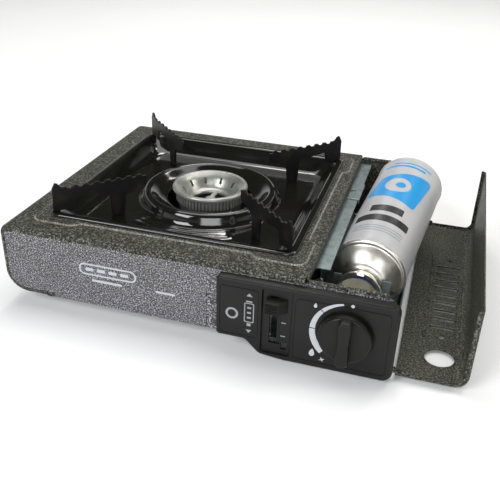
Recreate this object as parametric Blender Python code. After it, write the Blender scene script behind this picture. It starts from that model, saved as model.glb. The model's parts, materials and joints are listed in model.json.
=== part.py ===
"""Portable cassette gas stove with its can bay open.

Metres, +Z up. The stove stands on z = 0 with its controls towards -Y and its can bay at +X.
The origin is the middle of the box around the stove, lid open, at the table. Sub-parts are
placed in the closed body's own coordinates and ride on the empty "stove", which carries them
to that origin.
"""

import math

import bmesh
import bpy
from mathutils import Matrix, Vector

# ---------------------------------------------------------------- driving dimensions
GAP = 0.0003  # left between pieces that touch
SHEET = 0.0010  # body sheet
BODY_WIDTH = 0.340
BODY_DEPTH = 0.277
TOP_HEIGHT = 0.075  # table to the top plate
BAY_WIDTH = 0.072
BAY_FLOOR_HEIGHT = 0.0035  # table to the underside of the can trough
TRAY_HEIGHT = 0.0115  # table to the underside of the cover's bottom flap
FLANGE = 0.0045  # rolled edges' width
EDGE_RADIUS = 0.0040  # rolled edges' outer radius
BAY_LIP = 0.0050  # the cover's edge folded down into the bay
TOP_CORNER_RADIUS = 0.0080
BOTTOM_CORNER_RADIUS = 0.0200
BOTTOM_FLAP = 0.047  # the cover's flap under the left end
TROUGH_LIP = 0.0155  # trough floor to the top of its right wall

PAN_SIZE = 0.221
PAN_CENTRE_X = -0.029
PAN_CENTRE_Y = 0.0
PAN_SHEET = 0.0009
PAN_RIM_WIDTH = 0.0060
PAN_RIM_HEIGHT = 0.0034
PAN_DEPTH = 0.0115  # top plate down to the pan's floor
PAN_CORNER_RADIUS = 0.010
LIP_RADIUS = 0.067  # raised ring round the burner
LIP_RISE = 0.0110
PAN_HOLE_RADIUS = 0.041
WELL_CLEARANCE = 0.0012
SEAT_RISE = 0.0010  # pressed seat round the pan
SEAT_MARGIN = 0.0050  # how far the seat reaches beyond the pan
SEAT_CORNER_REACH = 0.0110  # the same at its corners
SEAT_CORNER_LENGTH = 0.0400

LEG_THICKNESS = 0.0020
LEG_OUTER_RADIUS = 0.1500
LEG_INNER_RADIUS = 0.0640
LEG_TOP = 0.0240  # support plane above the top plate
LEG_HORN = 0.0055  # horn above the support plane
LEG_TEETH = 8

BURNER_RADIUS = 0.0360
BURNER_TOP = 0.0020  # above the top plate
BURNER_BOWL_RADIUS = 0.0165
BURNER_SKIRT = 0.0040
PORT_COUNT = 48
PORT_RING_HEIGHT = 0.0090
CUP_RADIUS = 0.0300
CUP_NECK_RADIUS = 0.0125
CUP_WALL = 0.0020
TUBE_RADIUS = 0.0070
TUBE_HEIGHT = 0.0340

PANEL_WIDTH = 0.142
PANEL_DEPTH = 0.0085
PANEL_TOP = 0.0695
PANEL_BOTTOM = 0.0018
PANEL_STEP_HEIGHT = 0.0155  # bottom edge of the panel's left part
PANEL_CORNER_RADIUS = 0.0080
PANEL_CHAMFER = 0.0025
PANEL_WALL = 0.0025

KNOB_RADIUS = 0.0210
KNOB_DISC_DEPTH = 0.0070
KNOB_GRIP_WIDTH = 0.0110
KNOB_GRIP_DEPTH = 0.0075
SHAFT_RADIUS = 0.0030
KNOB_TRAVEL_DEG = 130.0

LEVER_TRAVEL = 0.033
LEVER_RECESS = 0.0020
LEVER_WIDTH = 0.0165
LEVER_HEIGHT = 0.0120
LEVER_STEM = 0.0060
LEVER_OFFSET = 0.0545  # valve axis to the lever's middle
LEVER_DROP = 0.0165  # panel top to the lever's middle
PIN_RADIUS = 0.0020
PIN_CLEARANCE = 0.0004
CAN_TRAVEL = 0.0040
SLIDER_SHEET = 0.0015

CAN_RADIUS = 0.0330
CAN_BODY_LENGTH = 0.150
CAN_SHEET = 0.0008
CAN_NECK_RADIUS = 0.0140
CAN_FLANGE_RADIUS = 0.0190
CAN_DOME_LENGTH = 0.0180
STEM_RADIUS = 0.0022
CAN_PITCH_DEG = 8.5  # rear end raised, as the can goes in
CAN_YAW_DEG = 7.0

HINGE_INSET = 0.0080  # lid's outer face to its pins
HINGE_HEIGHT = 0.0100
LID_LOWER_EDGE = 0.0200
LID_CORNER_RADIUS = 0.0110
LID_OPEN_DEG = 90.0
HINGE_PIN_RADIUS = 0.0020
LOUVRE_COUNT = 9
LOUVRE_PITCH = 0.0134
LOUVRE_LENGTH = 0.0200
LOUVRE_WIDTH = 0.0040
LOUVRE_MIDDLE_Y = -0.0065
FINGER_HOLE_RADIUS = 0.0120
FOOT_RADIUS = 0.0090
SEGMENTS = 40

# ---------------------------------------------------------------- derived places
LEFT = -BODY_WIDTH / 2
RIGHT = BODY_WIDTH / 2
FRONT = -BODY_DEPTH / 2
REAR = BODY_DEPTH / 2
TOP = TOP_HEIGHT
BAY_LEFT = RIGHT - BAY_WIDTH
FRONT_FACE = FRONT + SHEET + GAP  # front panel's outer face
REAR_FACE = REAR - SHEET - GAP
FRONT_INSIDE = FRONT_FACE + SHEET
REAR_INSIDE = REAR_FACE - SHEET
LEDGE = TOP - 0.0092  # underside of the partition's ledge in the bay
TRAY_FLOOR = TRAY_HEIGHT + SHEET + GAP  # underside of the tray's left floor
TROUGH_TOP = BAY_FLOOR_HEIGHT + SHEET
VALVE_X = BAY_LEFT + CAN_RADIUS + 0.0010
VALVE_Z = TROUGH_TOP + GAP + CAN_RADIUS
PANEL_FACE = FRONT - GAP - PANEL_DEPTH
PANEL_BACK = FRONT - GAP
PANEL_RIGHT = RIGHT
PANEL_LEFT = PANEL_RIGHT - PANEL_WIDTH
LEVER_X = VALVE_X - LEVER_OFFSET
LEVER_Z = PANEL_TOP - LEVER_DROP
PAN_HALF = PAN_SIZE / 2
PAN_FLOOR = TOP - PAN_DEPTH
HINGE_X = RIGHT - HINGE_INSET
COLLAR_Y = FRONT + 0.065  # the slider's fork, where the can's neck is held
GRIP_FACE = PANEL_FACE - 0.0006 - KNOB_DISC_DEPTH - KNOB_GRIP_DEPTH
LID_REACH = TOP - HINGE_HEIGHT - HINGE_INSET  # how far the open lid stands out beyond RIGHT
ORIGIN = Vector(((LEFT + RIGHT + LID_REACH) / 2, (GRIP_FACE + REAR) / 2, 0.0))


# ---------------------------------------------------------------- building tools
def paint(name, colour, roughness, metallic=0.0):
    made = bpy.data.materials.new(name)
    made.use_nodes = True
    shader = made.node_tree.nodes["Principled BSDF"]
    shader.inputs["Base Color"].default_value = (*colour, 1.0)
    shader.inputs["Roughness"].default_value = roughness
    shader.inputs["Metallic"].default_value = metallic
    made.diffuse_color = (*colour, 1.0)
    return made


def empty(name, parent, place, turn=None):
    made = bpy.data.objects.new(name, None)
    bpy.context.collection.objects.link(made)
    made.empty_display_size = 0.01
    made.parent = parent
    made.location = place
    if turn is not None:
        made.rotation_euler = turn.to_euler()
    return made


def add(name, bm, finish, parent, smooth=None):
    """An object from a bmesh, with outward faces, riding on its parent."""
    bmesh.ops.recalc_face_normals(bm, faces=bm.faces)
    mesh = bpy.data.meshes.new(name)
    bm.to_mesh(mesh)
    bm.free()
    if smooth:
        mesh.shade_smooth()
        mesh.set_sharp_from_angle(angle=math.radians(smooth))
    made = bpy.data.objects.new(name, mesh)
    bpy.context.collection.objects.link(made)
    made.parent = parent
    if finish:
        mesh.materials.append(finish)
    return made


def skin(loops, ring=False):
    """A solid through loops of equal length: capped at both ends, or joined end to end."""
    bm = bmesh.new()
    rows = [[bm.verts.new(point) for point in loop] for loop in loops]
    count = len(rows[0])
    for first, second in zip(rows, rows[1:] + rows[:1] if ring else rows[1:]):
        for i in range(count):
            j = (i + 1) % count
            bm.faces.new((first[i], first[j], second[j], second[i]))
    if not ring:
        bm.faces.new(rows[0][::-1])
        bm.faces.new(rows[-1])
    return bm


def placed(axis, across, along, up):
    """A point whose outline lies across the named axis."""
    if axis == "X":
        return (up, across, along)
    if axis == "Y":
        return (across, up, along)
    return (across, along, up)


def prism(outline, axis, low, high):
    return skin([[placed(axis, a, b, level) for a, b in outline] for level in (low, high)])


def block(x0, x1, y0, y1, z0, z1):
    return prism([(x0, y0), (x1, y0), (x1, y1), (x0, y1)], "Z", z0, z1)


def circle(radius, count=SEGMENTS, centre=(0.0, 0.0)):
    step = 2 * math.pi / count
    return [
        (centre[0] + radius * math.cos(i * step), centre[1] + radius * math.sin(i * step))
        for i in range(count)
    ]


def turned(profile, axis, centre, count=SEGMENTS, ring=True):
    """Radius and height pairs turned about an axis through the centre."""
    loops = []
    for radius, height in profile:
        loops.append(
            [Vector(placed(axis, a, b, height)) + Vector(centre) for a, b in circle(radius, count)]
        )
    return skin(loops, ring)


def rounded(points, radii, closed=True, steps=4):
    """A polyline with its corners rounded to the given radii."""
    count = len(points)
    made = []
    for i, (point, radius) in enumerate(zip(points, radii)):
        if radius == 0 or (not closed and i in (0, count - 1)):
            made.append(point)
            continue
        here = Vector(point)
        back = (Vector(points[i - 1]) - here).normalized()
        ahead = (Vector(points[(i + 1) % count]) - here).normalized()
        half = back.angle(ahead) / 2
        reach = radius / math.tan(half)
        centre = here + (back + ahead).normalized() * radius / math.sin(half)
        start = here + back * reach - centre
        turn = math.pi - 2 * half
        side = 1 if back.x * ahead.y - back.y * ahead.x < 0 else -1
        for k in range(steps + 1):
            angle = side * turn * k / steps
            spun = Vector(
                (
                    start.x * math.cos(angle) - start.y * math.sin(angle),
                    start.x * math.sin(angle) + start.y * math.cos(angle),
                )
            )
            made.append(tuple(centre + spun))
    return made


def inward(path):
    """The mitred left-hand normal at each point of an open path."""
    made = []
    for i, point in enumerate(path):
        sides = []
        for a, b in ((i - 1, i), (i, i + 1)):
            if 0 <= a and b < len(path):
                run = (Vector(path[b]) - Vector(path[a])).normalized()
                sides.append(Vector((-run.y, run.x)))
        normal = sum(sides, Vector((0.0, 0.0))).normalized()
        made.append(normal / normal.dot(sides[0]))
    return made


def offset(path, distance):
    return [tuple(Vector(p) + n * distance) for p, n in zip(path, inward(path))]


def strip(path, thickness):
    """The outline of a bent strip, its thickness on the path's left."""
    return [*path, *offset(path, thickness)[::-1]]


def swept(path, section):
    """A section of (inward distance, y) pairs carried along a path in the XZ plane."""
    loops = []
    for (x, z), normal in zip(path, inward(path)):
        loops.append([(x + normal.x * d, y, z + normal.y * d) for d, y in section])
    return skin(loops)


def channel():
    """Section of a sheet whose front and rear edges are rolled inwards."""
    steps = 3
    outer, inner = [], []
    for k in range(steps + 1):
        angle = math.pi / 2 * k / steps
        outer.append((EDGE_RADIUS * (1 - math.sin(angle)), EDGE_RADIUS * (1 - math.cos(angle))))
        near = EDGE_RADIUS - SHEET
        inner.append((EDGE_RADIUS - near * math.sin(angle), EDGE_RADIUS - near * math.cos(angle)))
    front = [(FLANGE, FRONT)] + [(d, FRONT + y) for d, y in outer]
    front_inner = [(FLANGE, FRONT + SHEET)] + [(d, FRONT + y) for d, y in inner]
    rear = [(d, -y) for d, y in front]
    rear_inner = [(d, -y) for d, y in front_inner]
    return front[:1] + front[:0:-1][::-1] + rear[::-1] + rear_inner + front_inner[::-1]


def boolean(target, tool, operation):
    change = target.modifiers.new(tool.name, "BOOLEAN")
    change.operation = operation
    change.solver = "EXACT"
    change.object = tool
    tool.hide_render = True
    tool.display_type = "WIRE"


def cut(target, bm, name):
    boolean(target, add(name, bm, None, target.parent), "DIFFERENCE")


def join(target, bm, name):
    boolean(target, add(name, bm, None, target.parent), "UNION")


def tube(name, points, radius, finish, parent):
    """A round rod or lead along a smooth curve through a few chosen points."""
    curve = bpy.data.curves.new(name, "CURVE")
    curve.dimensions = "3D"
    curve.bevel_depth = radius
    curve.bevel_resolution = 2
    curve.use_fill_caps = True
    fine = smooth_route(points)
    line = curve.splines.new("POLY")
    line.points.add(len(fine) - 1)
    for spot, point in zip(line.points, fine):
        spot.co = (*point, 1.0)
    made = bpy.data.objects.new(name, curve)
    bpy.context.collection.objects.link(made)
    made.parent = parent
    curve.materials.append(finish)
    return made


def smooth_route(points, steps=4):
    """Points along a Catmull-Rom curve through the given ones."""
    ends = [Vector(p) for p in points]
    ends = [2 * ends[0] - ends[1], *ends, 2 * ends[-1] - ends[-2]]
    made = []
    for a, b, c, d in zip(ends, ends[1:], ends[2:], ends[3:]):
        for k in range(steps):
            t = k / steps
            made.append(
                0.5 * (2 * b + (c - a) * t + (2 * a - 5 * b + 4 * c - d) * t**2
                       + (3 * b - a - 3 * c + d) * t**3)
            )
    return [*made, ends[-2]]


# ---------------------------------------------------------------- body shell
def cover_path():
    """From the bay's edge over the top, down the left end and under it."""
    return rounded(
        [
            (BAY_LEFT - 2 * SHEET, TOP),
            (LEFT, TOP),
            (LEFT, TRAY_HEIGHT),
            (LEFT + BOTTOM_FLAP, TRAY_HEIGHT),
        ],
        [0, TOP_CORNER_RADIUS, BOTTOM_CORNER_RADIUS, 0],
        closed=False,
        steps=5,
    )


def well_half():
    return PAN_HALF - PAN_RIM_WIDTH - WELL_CLEARANCE / 2


def seat_outline():
    """The pressed seat: a square whose corners step out round the pan supports."""
    near = PAN_HALF + SEAT_MARGIN
    far = PAN_HALF + SEAT_CORNER_REACH
    jog = far - SEAT_CORNER_LENGTH
    step = far - near
    quarter = [(near, jog - step), (far, jog), (far, far), (jog, far), (jog - step, near)]
    outline = []
    for turn in range(4):
        cos, sin = (1, 0, -1, 0)[turn], (0, 1, 0, -1)[turn]
        outline += [(x * cos - y * sin, x * sin + y * cos) for x, y in quarter]
    radii = [0.003, 0.003, 0.010, 0.003, 0.003] * 4
    return [(x + PAN_CENTRE_X, y + PAN_CENTRE_Y) for x, y in rounded(outline, radii, steps=3)]


def top_cover(paints, stove):
    made = add("top_cover", swept(cover_path(), channel()), paints["hammertone"], stove, 30)
    half = well_half()
    well = [(-half, -half), (half, -half), (half, half), (-half, half)]
    outline = [
        (x + PAN_CENTRE_X, y + PAN_CENTRE_Y) for x, y in rounded(well, [PAN_CORNER_RADIUS] * 4)
    ]
    foot = seat_outline()
    middle = Vector((PAN_CENTRE_X, PAN_CENTRE_Y))
    crown = [tuple(middle + (Vector(p) - middle) * (1 - SEAT_RISE / PAN_HALF)) for p in foot]
    levels = ((foot, TOP - SHEET / 2), (foot, TOP), (crown, TOP + SEAT_RISE))
    join(made, skin([[(x, y, z) for x, y in ring] for ring, z in levels]), "pan_seat")
    cut(made, prism(outline, "Z", TOP - 3 * SHEET, TOP + 3 * SHEET), "pan_well")
    fold = [(BAY_LEFT, TOP - BAY_LIP), (BAY_LEFT, TOP), (BAY_LEFT - 3 * SHEET, TOP)]
    fold = rounded(fold, [0, 2 * SHEET, 0], closed=False)
    ends = (FRONT_INSIDE + 2 * GAP, REAR_INSIDE - 2 * GAP)
    join(made, prism(strip(fold, SHEET), "Y", *ends), "bay_fold")


def trough_step():
    """Where the tray steps down to the can trough, just left of the bay."""
    return BAY_LEFT - 0.006


def panel_outline():
    """Front and rear panels: behind the cover's flanges, and down to the trough on the right."""
    inner = offset(cover_path(), EDGE_RADIUS)
    flap_end = LEFT + BOTTOM_FLAP + 2 * GAP
    right = RIGHT - SHEET - 2 * GAP
    in_lid = RIGHT - EDGE_RADIUS - GAP
    shoulder = LID_LOWER_EDGE - 2 * SHEET
    bottom = BAY_FLOOR_HEIGHT + GAP
    step = trough_step() - SHEET
    corner = rounded(
        [(in_lid, shoulder), (in_lid, TOP - EDGE_RADIUS), (BAY_LEFT, TOP - EDGE_RADIUS)],
        [0, LID_CORNER_RADIUS - EDGE_RADIUS, 0],
        closed=False,
    )
    return [
        *corner[:-1],
        *inner,
        (flap_end, inner[-1][1]),
        (flap_end, TRAY_FLOOR),
        (step, TRAY_FLOOR),
        (step + 0.004, bottom),
        (right, bottom),
        (right, shoulder),
    ]


def field_outline(inset):
    """The part of a panel that stands flush with the cover's flanges, bar its border."""
    inner = offset(cover_path(), FLANGE + GAP + inset)
    across = BAY_LEFT - 0.010 - inset
    low = TRAY_FLOOR + GAP + inset
    left = LEFT + BOTTOM_FLAP + 2 * GAP + inset
    return [(across, inner[0][1]), *inner[1:-1], (left, inner[-1][1]), (left, low), (across, low)]


def end_panel(name, face, flush, finish, stove):
    """A panel behind the cover's flanges, with a hollow field pressed out flush with them."""
    low, high = sorted((face, face + (SHEET if face < 0 else -SHEET)))
    made = add(name, prism(panel_outline(), "Y", low, high), finish, stove, 30)
    field = sorted((flush, face + (SHEET if face < 0 else -SHEET) / 2))
    join(made, prism(field_outline(0.0), "Y", *field), name + "_field")
    way = 1 if face < 0 else -1
    hollow = sorted((flush + way * SHEET, face + way * 2 * SHEET))
    cut(made, prism(field_outline(2 * SHEET), "Y", *hollow), name + "_hollow")
    return made


def bay_lip(target, face, way, name):
    """The rolled top edge that an end panel shows across the bay, inside the closed lid's own roll."""
    radius = EDGE_RADIUS - SHEET - GAP
    path = [(face, TOP - 2 * EDGE_RADIUS)]
    for k in range(5):
        angle = math.pi / 2 * k / 4
        across, up = radius * (1 - math.cos(angle)), radius * math.sin(angle)
        path.append((face + way * across, TOP - EDGE_RADIUS + up))
    path.append((face + way * FLANGE, TOP - SHEET - GAP))
    join(target, prism(strip(path, -way * SHEET), "X", BAY_LEFT + GAP, RIGHT - LID_CORNER_RADIUS), name)


def pin_hole(face, way):
    spot = circle(HINGE_PIN_RADIUS + GAP, 16, (HINGE_X, HINGE_HEIGHT))
    low, high = sorted((face - way * 0.004, face + way * 0.004))
    return prism(spot, "Y", low, high)


def front_panel(paints, stove):
    made = end_panel("front_panel", FRONT_FACE, FRONT, paints["hammertone"], stove)
    bay_lip(made, FRONT_FACE, 1, "front_lip")
    beside = PANEL_LEFT - 0.011
    recess = rounded(
        [(beside, TRAY_HEIGHT), (PANEL_RIGHT, TRAY_HEIGHT), (PANEL_RIGHT, PANEL_TOP - 0.003),
         (beside, PANEL_TOP - 0.003)],
        [0, 0, 0, 0.006],
    )
    cut(made, prism(recess, "Y", FRONT - SHEET, FRONT + SHEET * 0.6), "front_recess")
    cut(made, lever_slot(FRONT - SHEET, FRONT_INSIDE + SHEET), "front_lever_slot")
    shaft = circle(2 * SHAFT_RADIUS, 24, (VALVE_X, VALVE_Z))
    cut(made, prism(shaft, "Y", FRONT - SHEET, FRONT_INSIDE + SHEET), "front_shaft_hole")
    cut(made, pin_hole(FRONT_FACE, 1), "front_pin_hole")


def rear_panel(paints, stove):
    made = end_panel("rear_panel", REAR_FACE, REAR, paints["hammertone"], stove)
    bay_lip(made, REAR_FACE, -1, "rear_lip")
    cut(made, pin_hole(REAR_FACE, -1), "rear_pin_hole")


def base_tray(paints, stove):
    """Floor of the body, stepped down to the can trough, with the trough's right wall."""
    left = LEFT + BOTTOM_CORNER_RADIUS + 0.002
    step = trough_step()
    right = RIGHT - SHEET - 3 * GAP - SHEET
    path = rounded(
        [
            (left, TRAY_FLOOR),
            (step, TRAY_FLOOR),
            (step + 0.004, BAY_FLOOR_HEIGHT),
            (right, BAY_FLOOR_HEIGHT),
            (right, BAY_FLOOR_HEIGHT + TROUGH_LIP),
        ],
        [0, 0, 0, 0.004, 0],
        closed=False,
    )
    ends = (FRONT + EDGE_RADIUS, REAR - EDGE_RADIUS)
    section = [(0, ends[0]), (SHEET, ends[0]), (SHEET, ends[1]), (0, ends[1])]
    add("base_tray", swept(path, section), paints["galvanised"], stove)


def bay_partition(paints, stove):
    """Wall between the burner and the can, with a ledge standing out into the bay."""
    right = BAY_LEFT - GAP
    low = TRAY_FLOOR + SHEET + GAP
    ledge = BAY_LEFT + 0.011
    path = rounded(
        [(right - 0.010, low), (right - SHEET, low), (right - SHEET, LEDGE), (ledge, LEDGE)],
        [0, 0.002, 0.001, 0],
        closed=False,
    )
    front, rear = COLLAR_Y - 0.030, REAR_INSIDE - 2 * GAP
    section = [(0, front), (SHEET, front), (SHEET, rear), (0, rear)]
    made = add("bay_partition", swept(path, section), paints["galvanised"], stove)
    away = block(right - 0.020, ledge, front - SHEET, COLLAR_Y + 0.008, low - SHEET, LEDGE - 0.003)
    cut(made, away, "partition_front")
    middle = (low + LEDGE) / 2
    start = COLLAR_Y + 0.008
    for i in range(5):
        y = start + (rear - start) * (i + 0.5) / 5
        vent = rounded([(y - 0.013, middle - 0.004), (y + 0.013, middle - 0.004),
                        (y + 0.013, middle + 0.004), (y - 0.013, middle + 0.004)], [0.0039] * 4)
        cut(made, prism(vent, "X", right - 3 * SHEET, right + SHEET), f"partition_vent_{i}")


def bay_bracket(paints, stove):
    """Plate on the ledge that steadies the can, its front and rear edges folded down."""
    y0, y1 = COLLAR_Y + 0.108, COLLAR_Y + 0.146
    x0, x1 = BAY_LEFT + GAP, BAY_LEFT + 0.0126
    z = LEDGE + SHEET + GAP
    drop = 0.004
    edge = [(y0, z - drop), (y0, z + SHEET), (y1, z + SHEET), (y1, z - drop)]
    made = add("bay_bracket", prism(strip(edge, -SHEET), "X", x0, x1), paints["galvanised"], stove)
    ledge = BAY_LEFT + 0.011
    cut(made, block(x0 - SHEET, ledge + 2 * GAP, y0 - SHEET, y1 + SHEET, z - 2 * drop, z), "bracket_ledge")
    middle = (y0 + y1) / 2
    slot = block(x0 - SHEET, x0 + 0.006, middle - 0.002, middle + 0.003, z - SHEET, z + 2 * SHEET)
    cut(made, slot, "bracket_slot")


def feet(paints, stove):
    """Pads under the tray and the trough."""
    left = LEFT + BOTTOM_FLAP / 2 + 0.008
    middle = PANEL_LEFT + 0.027
    right = VALVE_X + 0.010
    reach = 0.115
    pads = [
        ("left", left, TRAY_HEIGHT),
        ("middle", middle, TRAY_FLOOR),
        ("right", right, BAY_FLOOR_HEIGHT),
    ]
    for name, x, height in pads:
        for side, y in (("front", -reach), ("rear", reach)):
            top = height - GAP
            waist = FOOT_RADIUS * 0.8
            profile = [(waist, 0.0), (FOOT_RADIUS, top / 3), (FOOT_RADIUS, top)]
            pad = turned(profile, "Z", (x, y, 0.0), 24, ring=False)
            add(f"foot_{name}_{side}", pad, paints["rubber"], stove, 40)


# ---------------------------------------------------------------- drip pan and supports
def square_loop(half, corner, z):
    """A rounded square through rays that crowd towards its corners."""
    offsets = (45, 35, 25, 17, 10, 5, 2.1, 1.0, 0, -1.0, -2.1, -5, -10, -17, -25, -35)
    loop = []
    for quarter in range(4):
        for away in offsets:
            angle = math.radians(90 * quarter + 45 - away)
            ray = Vector((math.cos(angle), math.sin(angle)))
            near = Vector((abs(ray.x), abs(ray.y)))
            reach = half / max(near)
            if min(near) * reach > half - corner:
                centre = Vector((half - corner, half - corner))
                along = near.dot(centre)
                reach = along + math.sqrt(along**2 - centre.length_squared + corner**2)
            loop.append((PAN_CENTRE_X + ray.x * reach, PAN_CENTRE_Y + ray.y * reach, z))
    return loop


def pan_profile():
    """Half width, corner radius and height, from the rim's edge to the burner's hole."""
    rim_inner = PAN_HALF - PAN_RIM_WIDTH
    rim_top = TOP + PAN_RIM_HEIGHT
    lip_top = PAN_FLOOR + LIP_RISE
    corner = PAN_CORNER_RADIUS
    wall = rim_inner - WELL_CLEARANCE - PAN_SHEET
    return [
        (PAN_HALF, corner, TOP + SEAT_RISE + GAP),
        (PAN_HALF, corner, rim_top - 0.0008),
        (PAN_HALF - 0.0010, corner, rim_top),
        (rim_inner + 0.0005, corner, rim_top),
        (wall, corner, TOP + SEAT_RISE + 0.0010),
        (wall - 0.0050, corner, TOP - 0.0055),
        (wall - 0.0100, corner + 0.004, PAN_FLOOR + 0.0010),
        (wall - 0.0140, corner + 0.006, PAN_FLOOR),
        (LIP_RADIUS + 0.0040, LIP_RADIUS + 0.0040, PAN_FLOOR),
        (LIP_RADIUS, LIP_RADIUS, PAN_FLOOR + 0.0025),
        (LIP_RADIUS - 0.0035, LIP_RADIUS - 0.0035, lip_top - 0.0020),
        (LIP_RADIUS - 0.0080, LIP_RADIUS - 0.0080, lip_top),
        (LIP_RADIUS - 0.0130, LIP_RADIUS - 0.0130, lip_top - 0.0020),
        (LIP_RADIUS - 0.0180, LIP_RADIUS - 0.0180, lip_top - 0.0070),
        (PAN_HOLE_RADIUS, PAN_HOLE_RADIUS, lip_top - 0.0100),
    ]


def drip_pan(paints, pan):
    upper = pan_profile()
    path = [(half, z) for half, _, z in upper]
    lower = offset(path, PAN_SHEET)
    lower[0] = (lower[0][0], TOP + SEAT_RISE + GAP)
    loops = [square_loop(half, corner, z) for half, corner, z in upper]
    for (half, z), (_, corner, _) in zip(lower[::-1], upper[::-1]):
        loops.append(square_loop(half, min(corner, half), z))
    add("drip_pan", skin(loops, ring=True), paints["enamel"], pan, 50)


def leg_outline():
    """One pan support in its own plane: distance from the burner's axis, and height."""
    top = TOP + LEG_TOP
    rim = TOP + PAN_RIM_HEIGHT + GAP
    floor = PAN_FLOOR + GAP
    rim_diagonal = math.sqrt(2) * (PAN_HALF - PAN_RIM_WIDTH - 0.414 * PAN_CORNER_RADIUS / 1.414)
    horn = LEG_OUTER_RADIUS - 0.0030
    points = [
        (LEG_OUTER_RADIUS + 0.0005, rim),
        (LEG_OUTER_RADIUS, top),
        (horn, top + LEG_HORN),
        (horn - 0.0025, top + LEG_HORN - 0.001),
        (horn - 0.0055, top + 0.0008),
    ]
    run = (horn - 0.0055 - LEG_INNER_RADIUS) / LEG_TEETH
    for i in range(LEG_TEETH):
        start = horn - 0.0055 - i * run
        for along, rise in ((0.12, 0.0008), (0.42, 0.0008), (0.58, -0.0012), (0.86, -0.0012)):
            points.append((start - along * run, top + rise))
    points += [
        (LEG_INNER_RADIUS, top - 0.0010),
        (LEG_INNER_RADIUS, top - 0.0110),
        (LEG_INNER_RADIUS + 0.0205, top - 0.0160),
        (LEG_INNER_RADIUS + 0.0225, floor),
        (LEG_INNER_RADIUS + 0.0345, floor),
        (LEG_INNER_RADIUS + 0.0360, top - 0.0135),
        (rim_diagonal - 0.0130, top - 0.0100),
        (rim_diagonal - 0.0110, TOP + 0.0015),
        (rim_diagonal - 0.0030, rim),
    ]
    return points


def pan_legs(paints, pan):
    outline = leg_outline()
    centre = Vector((PAN_CENTRE_X, PAN_CENTRE_Y, 0.0))
    for name, angle in (("rear_right", 45), ("rear_left", 135), ("front_left", 225), ("front_right", 315)):
        spun = Matrix.Rotation(math.radians(angle), 4, "Z")
        plate = prism(outline, "Y", -LEG_THICKNESS / 2, LEG_THICKNESS / 2)
        bmesh.ops.transform(plate, matrix=Matrix.Translation(centre) @ spun, verts=plate.verts)
        add(f"pan_leg_{name}", plate, paints["support_black"], pan)


# ---------------------------------------------------------------- burner
def burner_levels():
    """Heights of the head's top, the port ring's top and foot, and the cup's mouth."""
    head = TOP + BURNER_TOP
    ring_top = head - BURNER_SKIRT - GAP
    ring_foot = ring_top - PORT_RING_HEIGHT
    return head, ring_top, ring_foot, ring_foot - GAP


def burner(paints, stove):
    centre = (PAN_CENTRE_X, PAN_CENTRE_Y, 0.0)
    head, ring_top, ring_foot, mouth = burner_levels()
    rim = BURNER_RADIUS
    bowl = BURNER_BOWL_RADIUS
    profile = [
        (rim - 0.0015, head - BURNER_SKIRT),
        (rim, head - BURNER_SKIRT + 0.0010),
        (rim, head - 0.0010),
        (rim - 0.0010, head),
        (rim - 0.0040, head - 0.0002),
        (rim - 0.0100, head - 0.0045),
        (bowl + 0.0040, head - 0.0130),
        (bowl, head - 0.0150),
        (bowl, head - 0.0175),
        (bowl + 0.0025, head - 0.0175),
        (rim - 0.0085, head - 0.0070),
        (rim - 0.0080, head - BURNER_SKIRT),
    ]
    made = add("burner_head", turned(profile, "Z", centre, 48), paints["cast_aluminium"], stove, 40)
    spoke = block(-0.002, 0.002, 0.0, bowl + 0.002, head - 0.0172, head - 0.0158)
    hub = prism(circle(0.0045, 16), "Z", head - 0.0174, head - 0.0155)
    for name, bm in (("burner_spoke", spoke), ("burner_hub", hub)):
        bmesh.ops.translate(bm, vec=centre, verts=bm.verts)
        join(made, bm, name)

    outer = rim - 0.0030
    outline = []
    step = 2 * math.pi / PORT_COUNT
    for i in range(PORT_COUNT):
        for radius, turn in ((outer, 0.0), (outer, 0.5), (outer - 0.0022, 0.55), (outer - 0.0022, 0.95)):
            angle = (i + turn) * step
            outline.append((radius * math.cos(angle), radius * math.sin(angle)))
    inner = circle(CUP_RADIUS - CUP_WALL + GAP, len(outline))
    loops = []
    for ring, z in ((outline, ring_foot), (outline, ring_top), (inner, ring_top), (inner, ring_foot)):
        loops.append([(x + centre[0], y + centre[1], z) for x, y in ring])
    add("burner_port_ring", skin(loops, ring=True), paints["cast_aluminium"], stove)

    neck = CUP_NECK_RADIUS
    foot = cup_foot()
    cup = [
        (neck, foot),
        (neck, foot + 0.0220),
        (CUP_RADIUS, mouth - 0.0100),
        (CUP_RADIUS, mouth),
        (CUP_RADIUS - CUP_WALL, mouth),
        (CUP_RADIUS - CUP_WALL, mouth - 0.0095),
        (neck - CUP_WALL, foot + 0.0225),
        (neck - CUP_WALL, foot + CUP_WALL),
    ]
    made = add("burner_cup", turned(cup, "Z", centre, 32), paints["cast_iron"], stove, 40)
    plug = prism(circle(neck - CUP_WALL / 2, 24, centre[:2]), "Z", foot + 0.0002, foot + CUP_WALL)
    join(made, plug, "cup_plug")


def cup_foot():
    return TRAY_FLOOR + SHEET + 0.0115


def burner_bracket(paints, stove):
    """Hat-shaped strip that carries the cup above the tray."""
    floor = TRAY_FLOOR + SHEET + GAP
    top = cup_foot() - GAP - SLIDER_SHEET
    half = CUP_RADIUS
    x = PAN_CENTRE_X
    path = [
        (x - half - 0.012, floor),
        (x - half, floor),
        (x - half + 0.003, top),
        (x + half - 0.003, top),
        (x + half, floor),
        (x + half + 0.012, floor),
    ]
    y0, y1 = PAN_CENTRE_Y - 0.011, PAN_CENTRE_Y + 0.011
    section = [(0, y0), (SLIDER_SHEET, y0), (SLIDER_SHEET, y1), (0, y1)]
    add("burner_bracket", swept(path, section), paints["galvanised"], stove)


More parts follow.
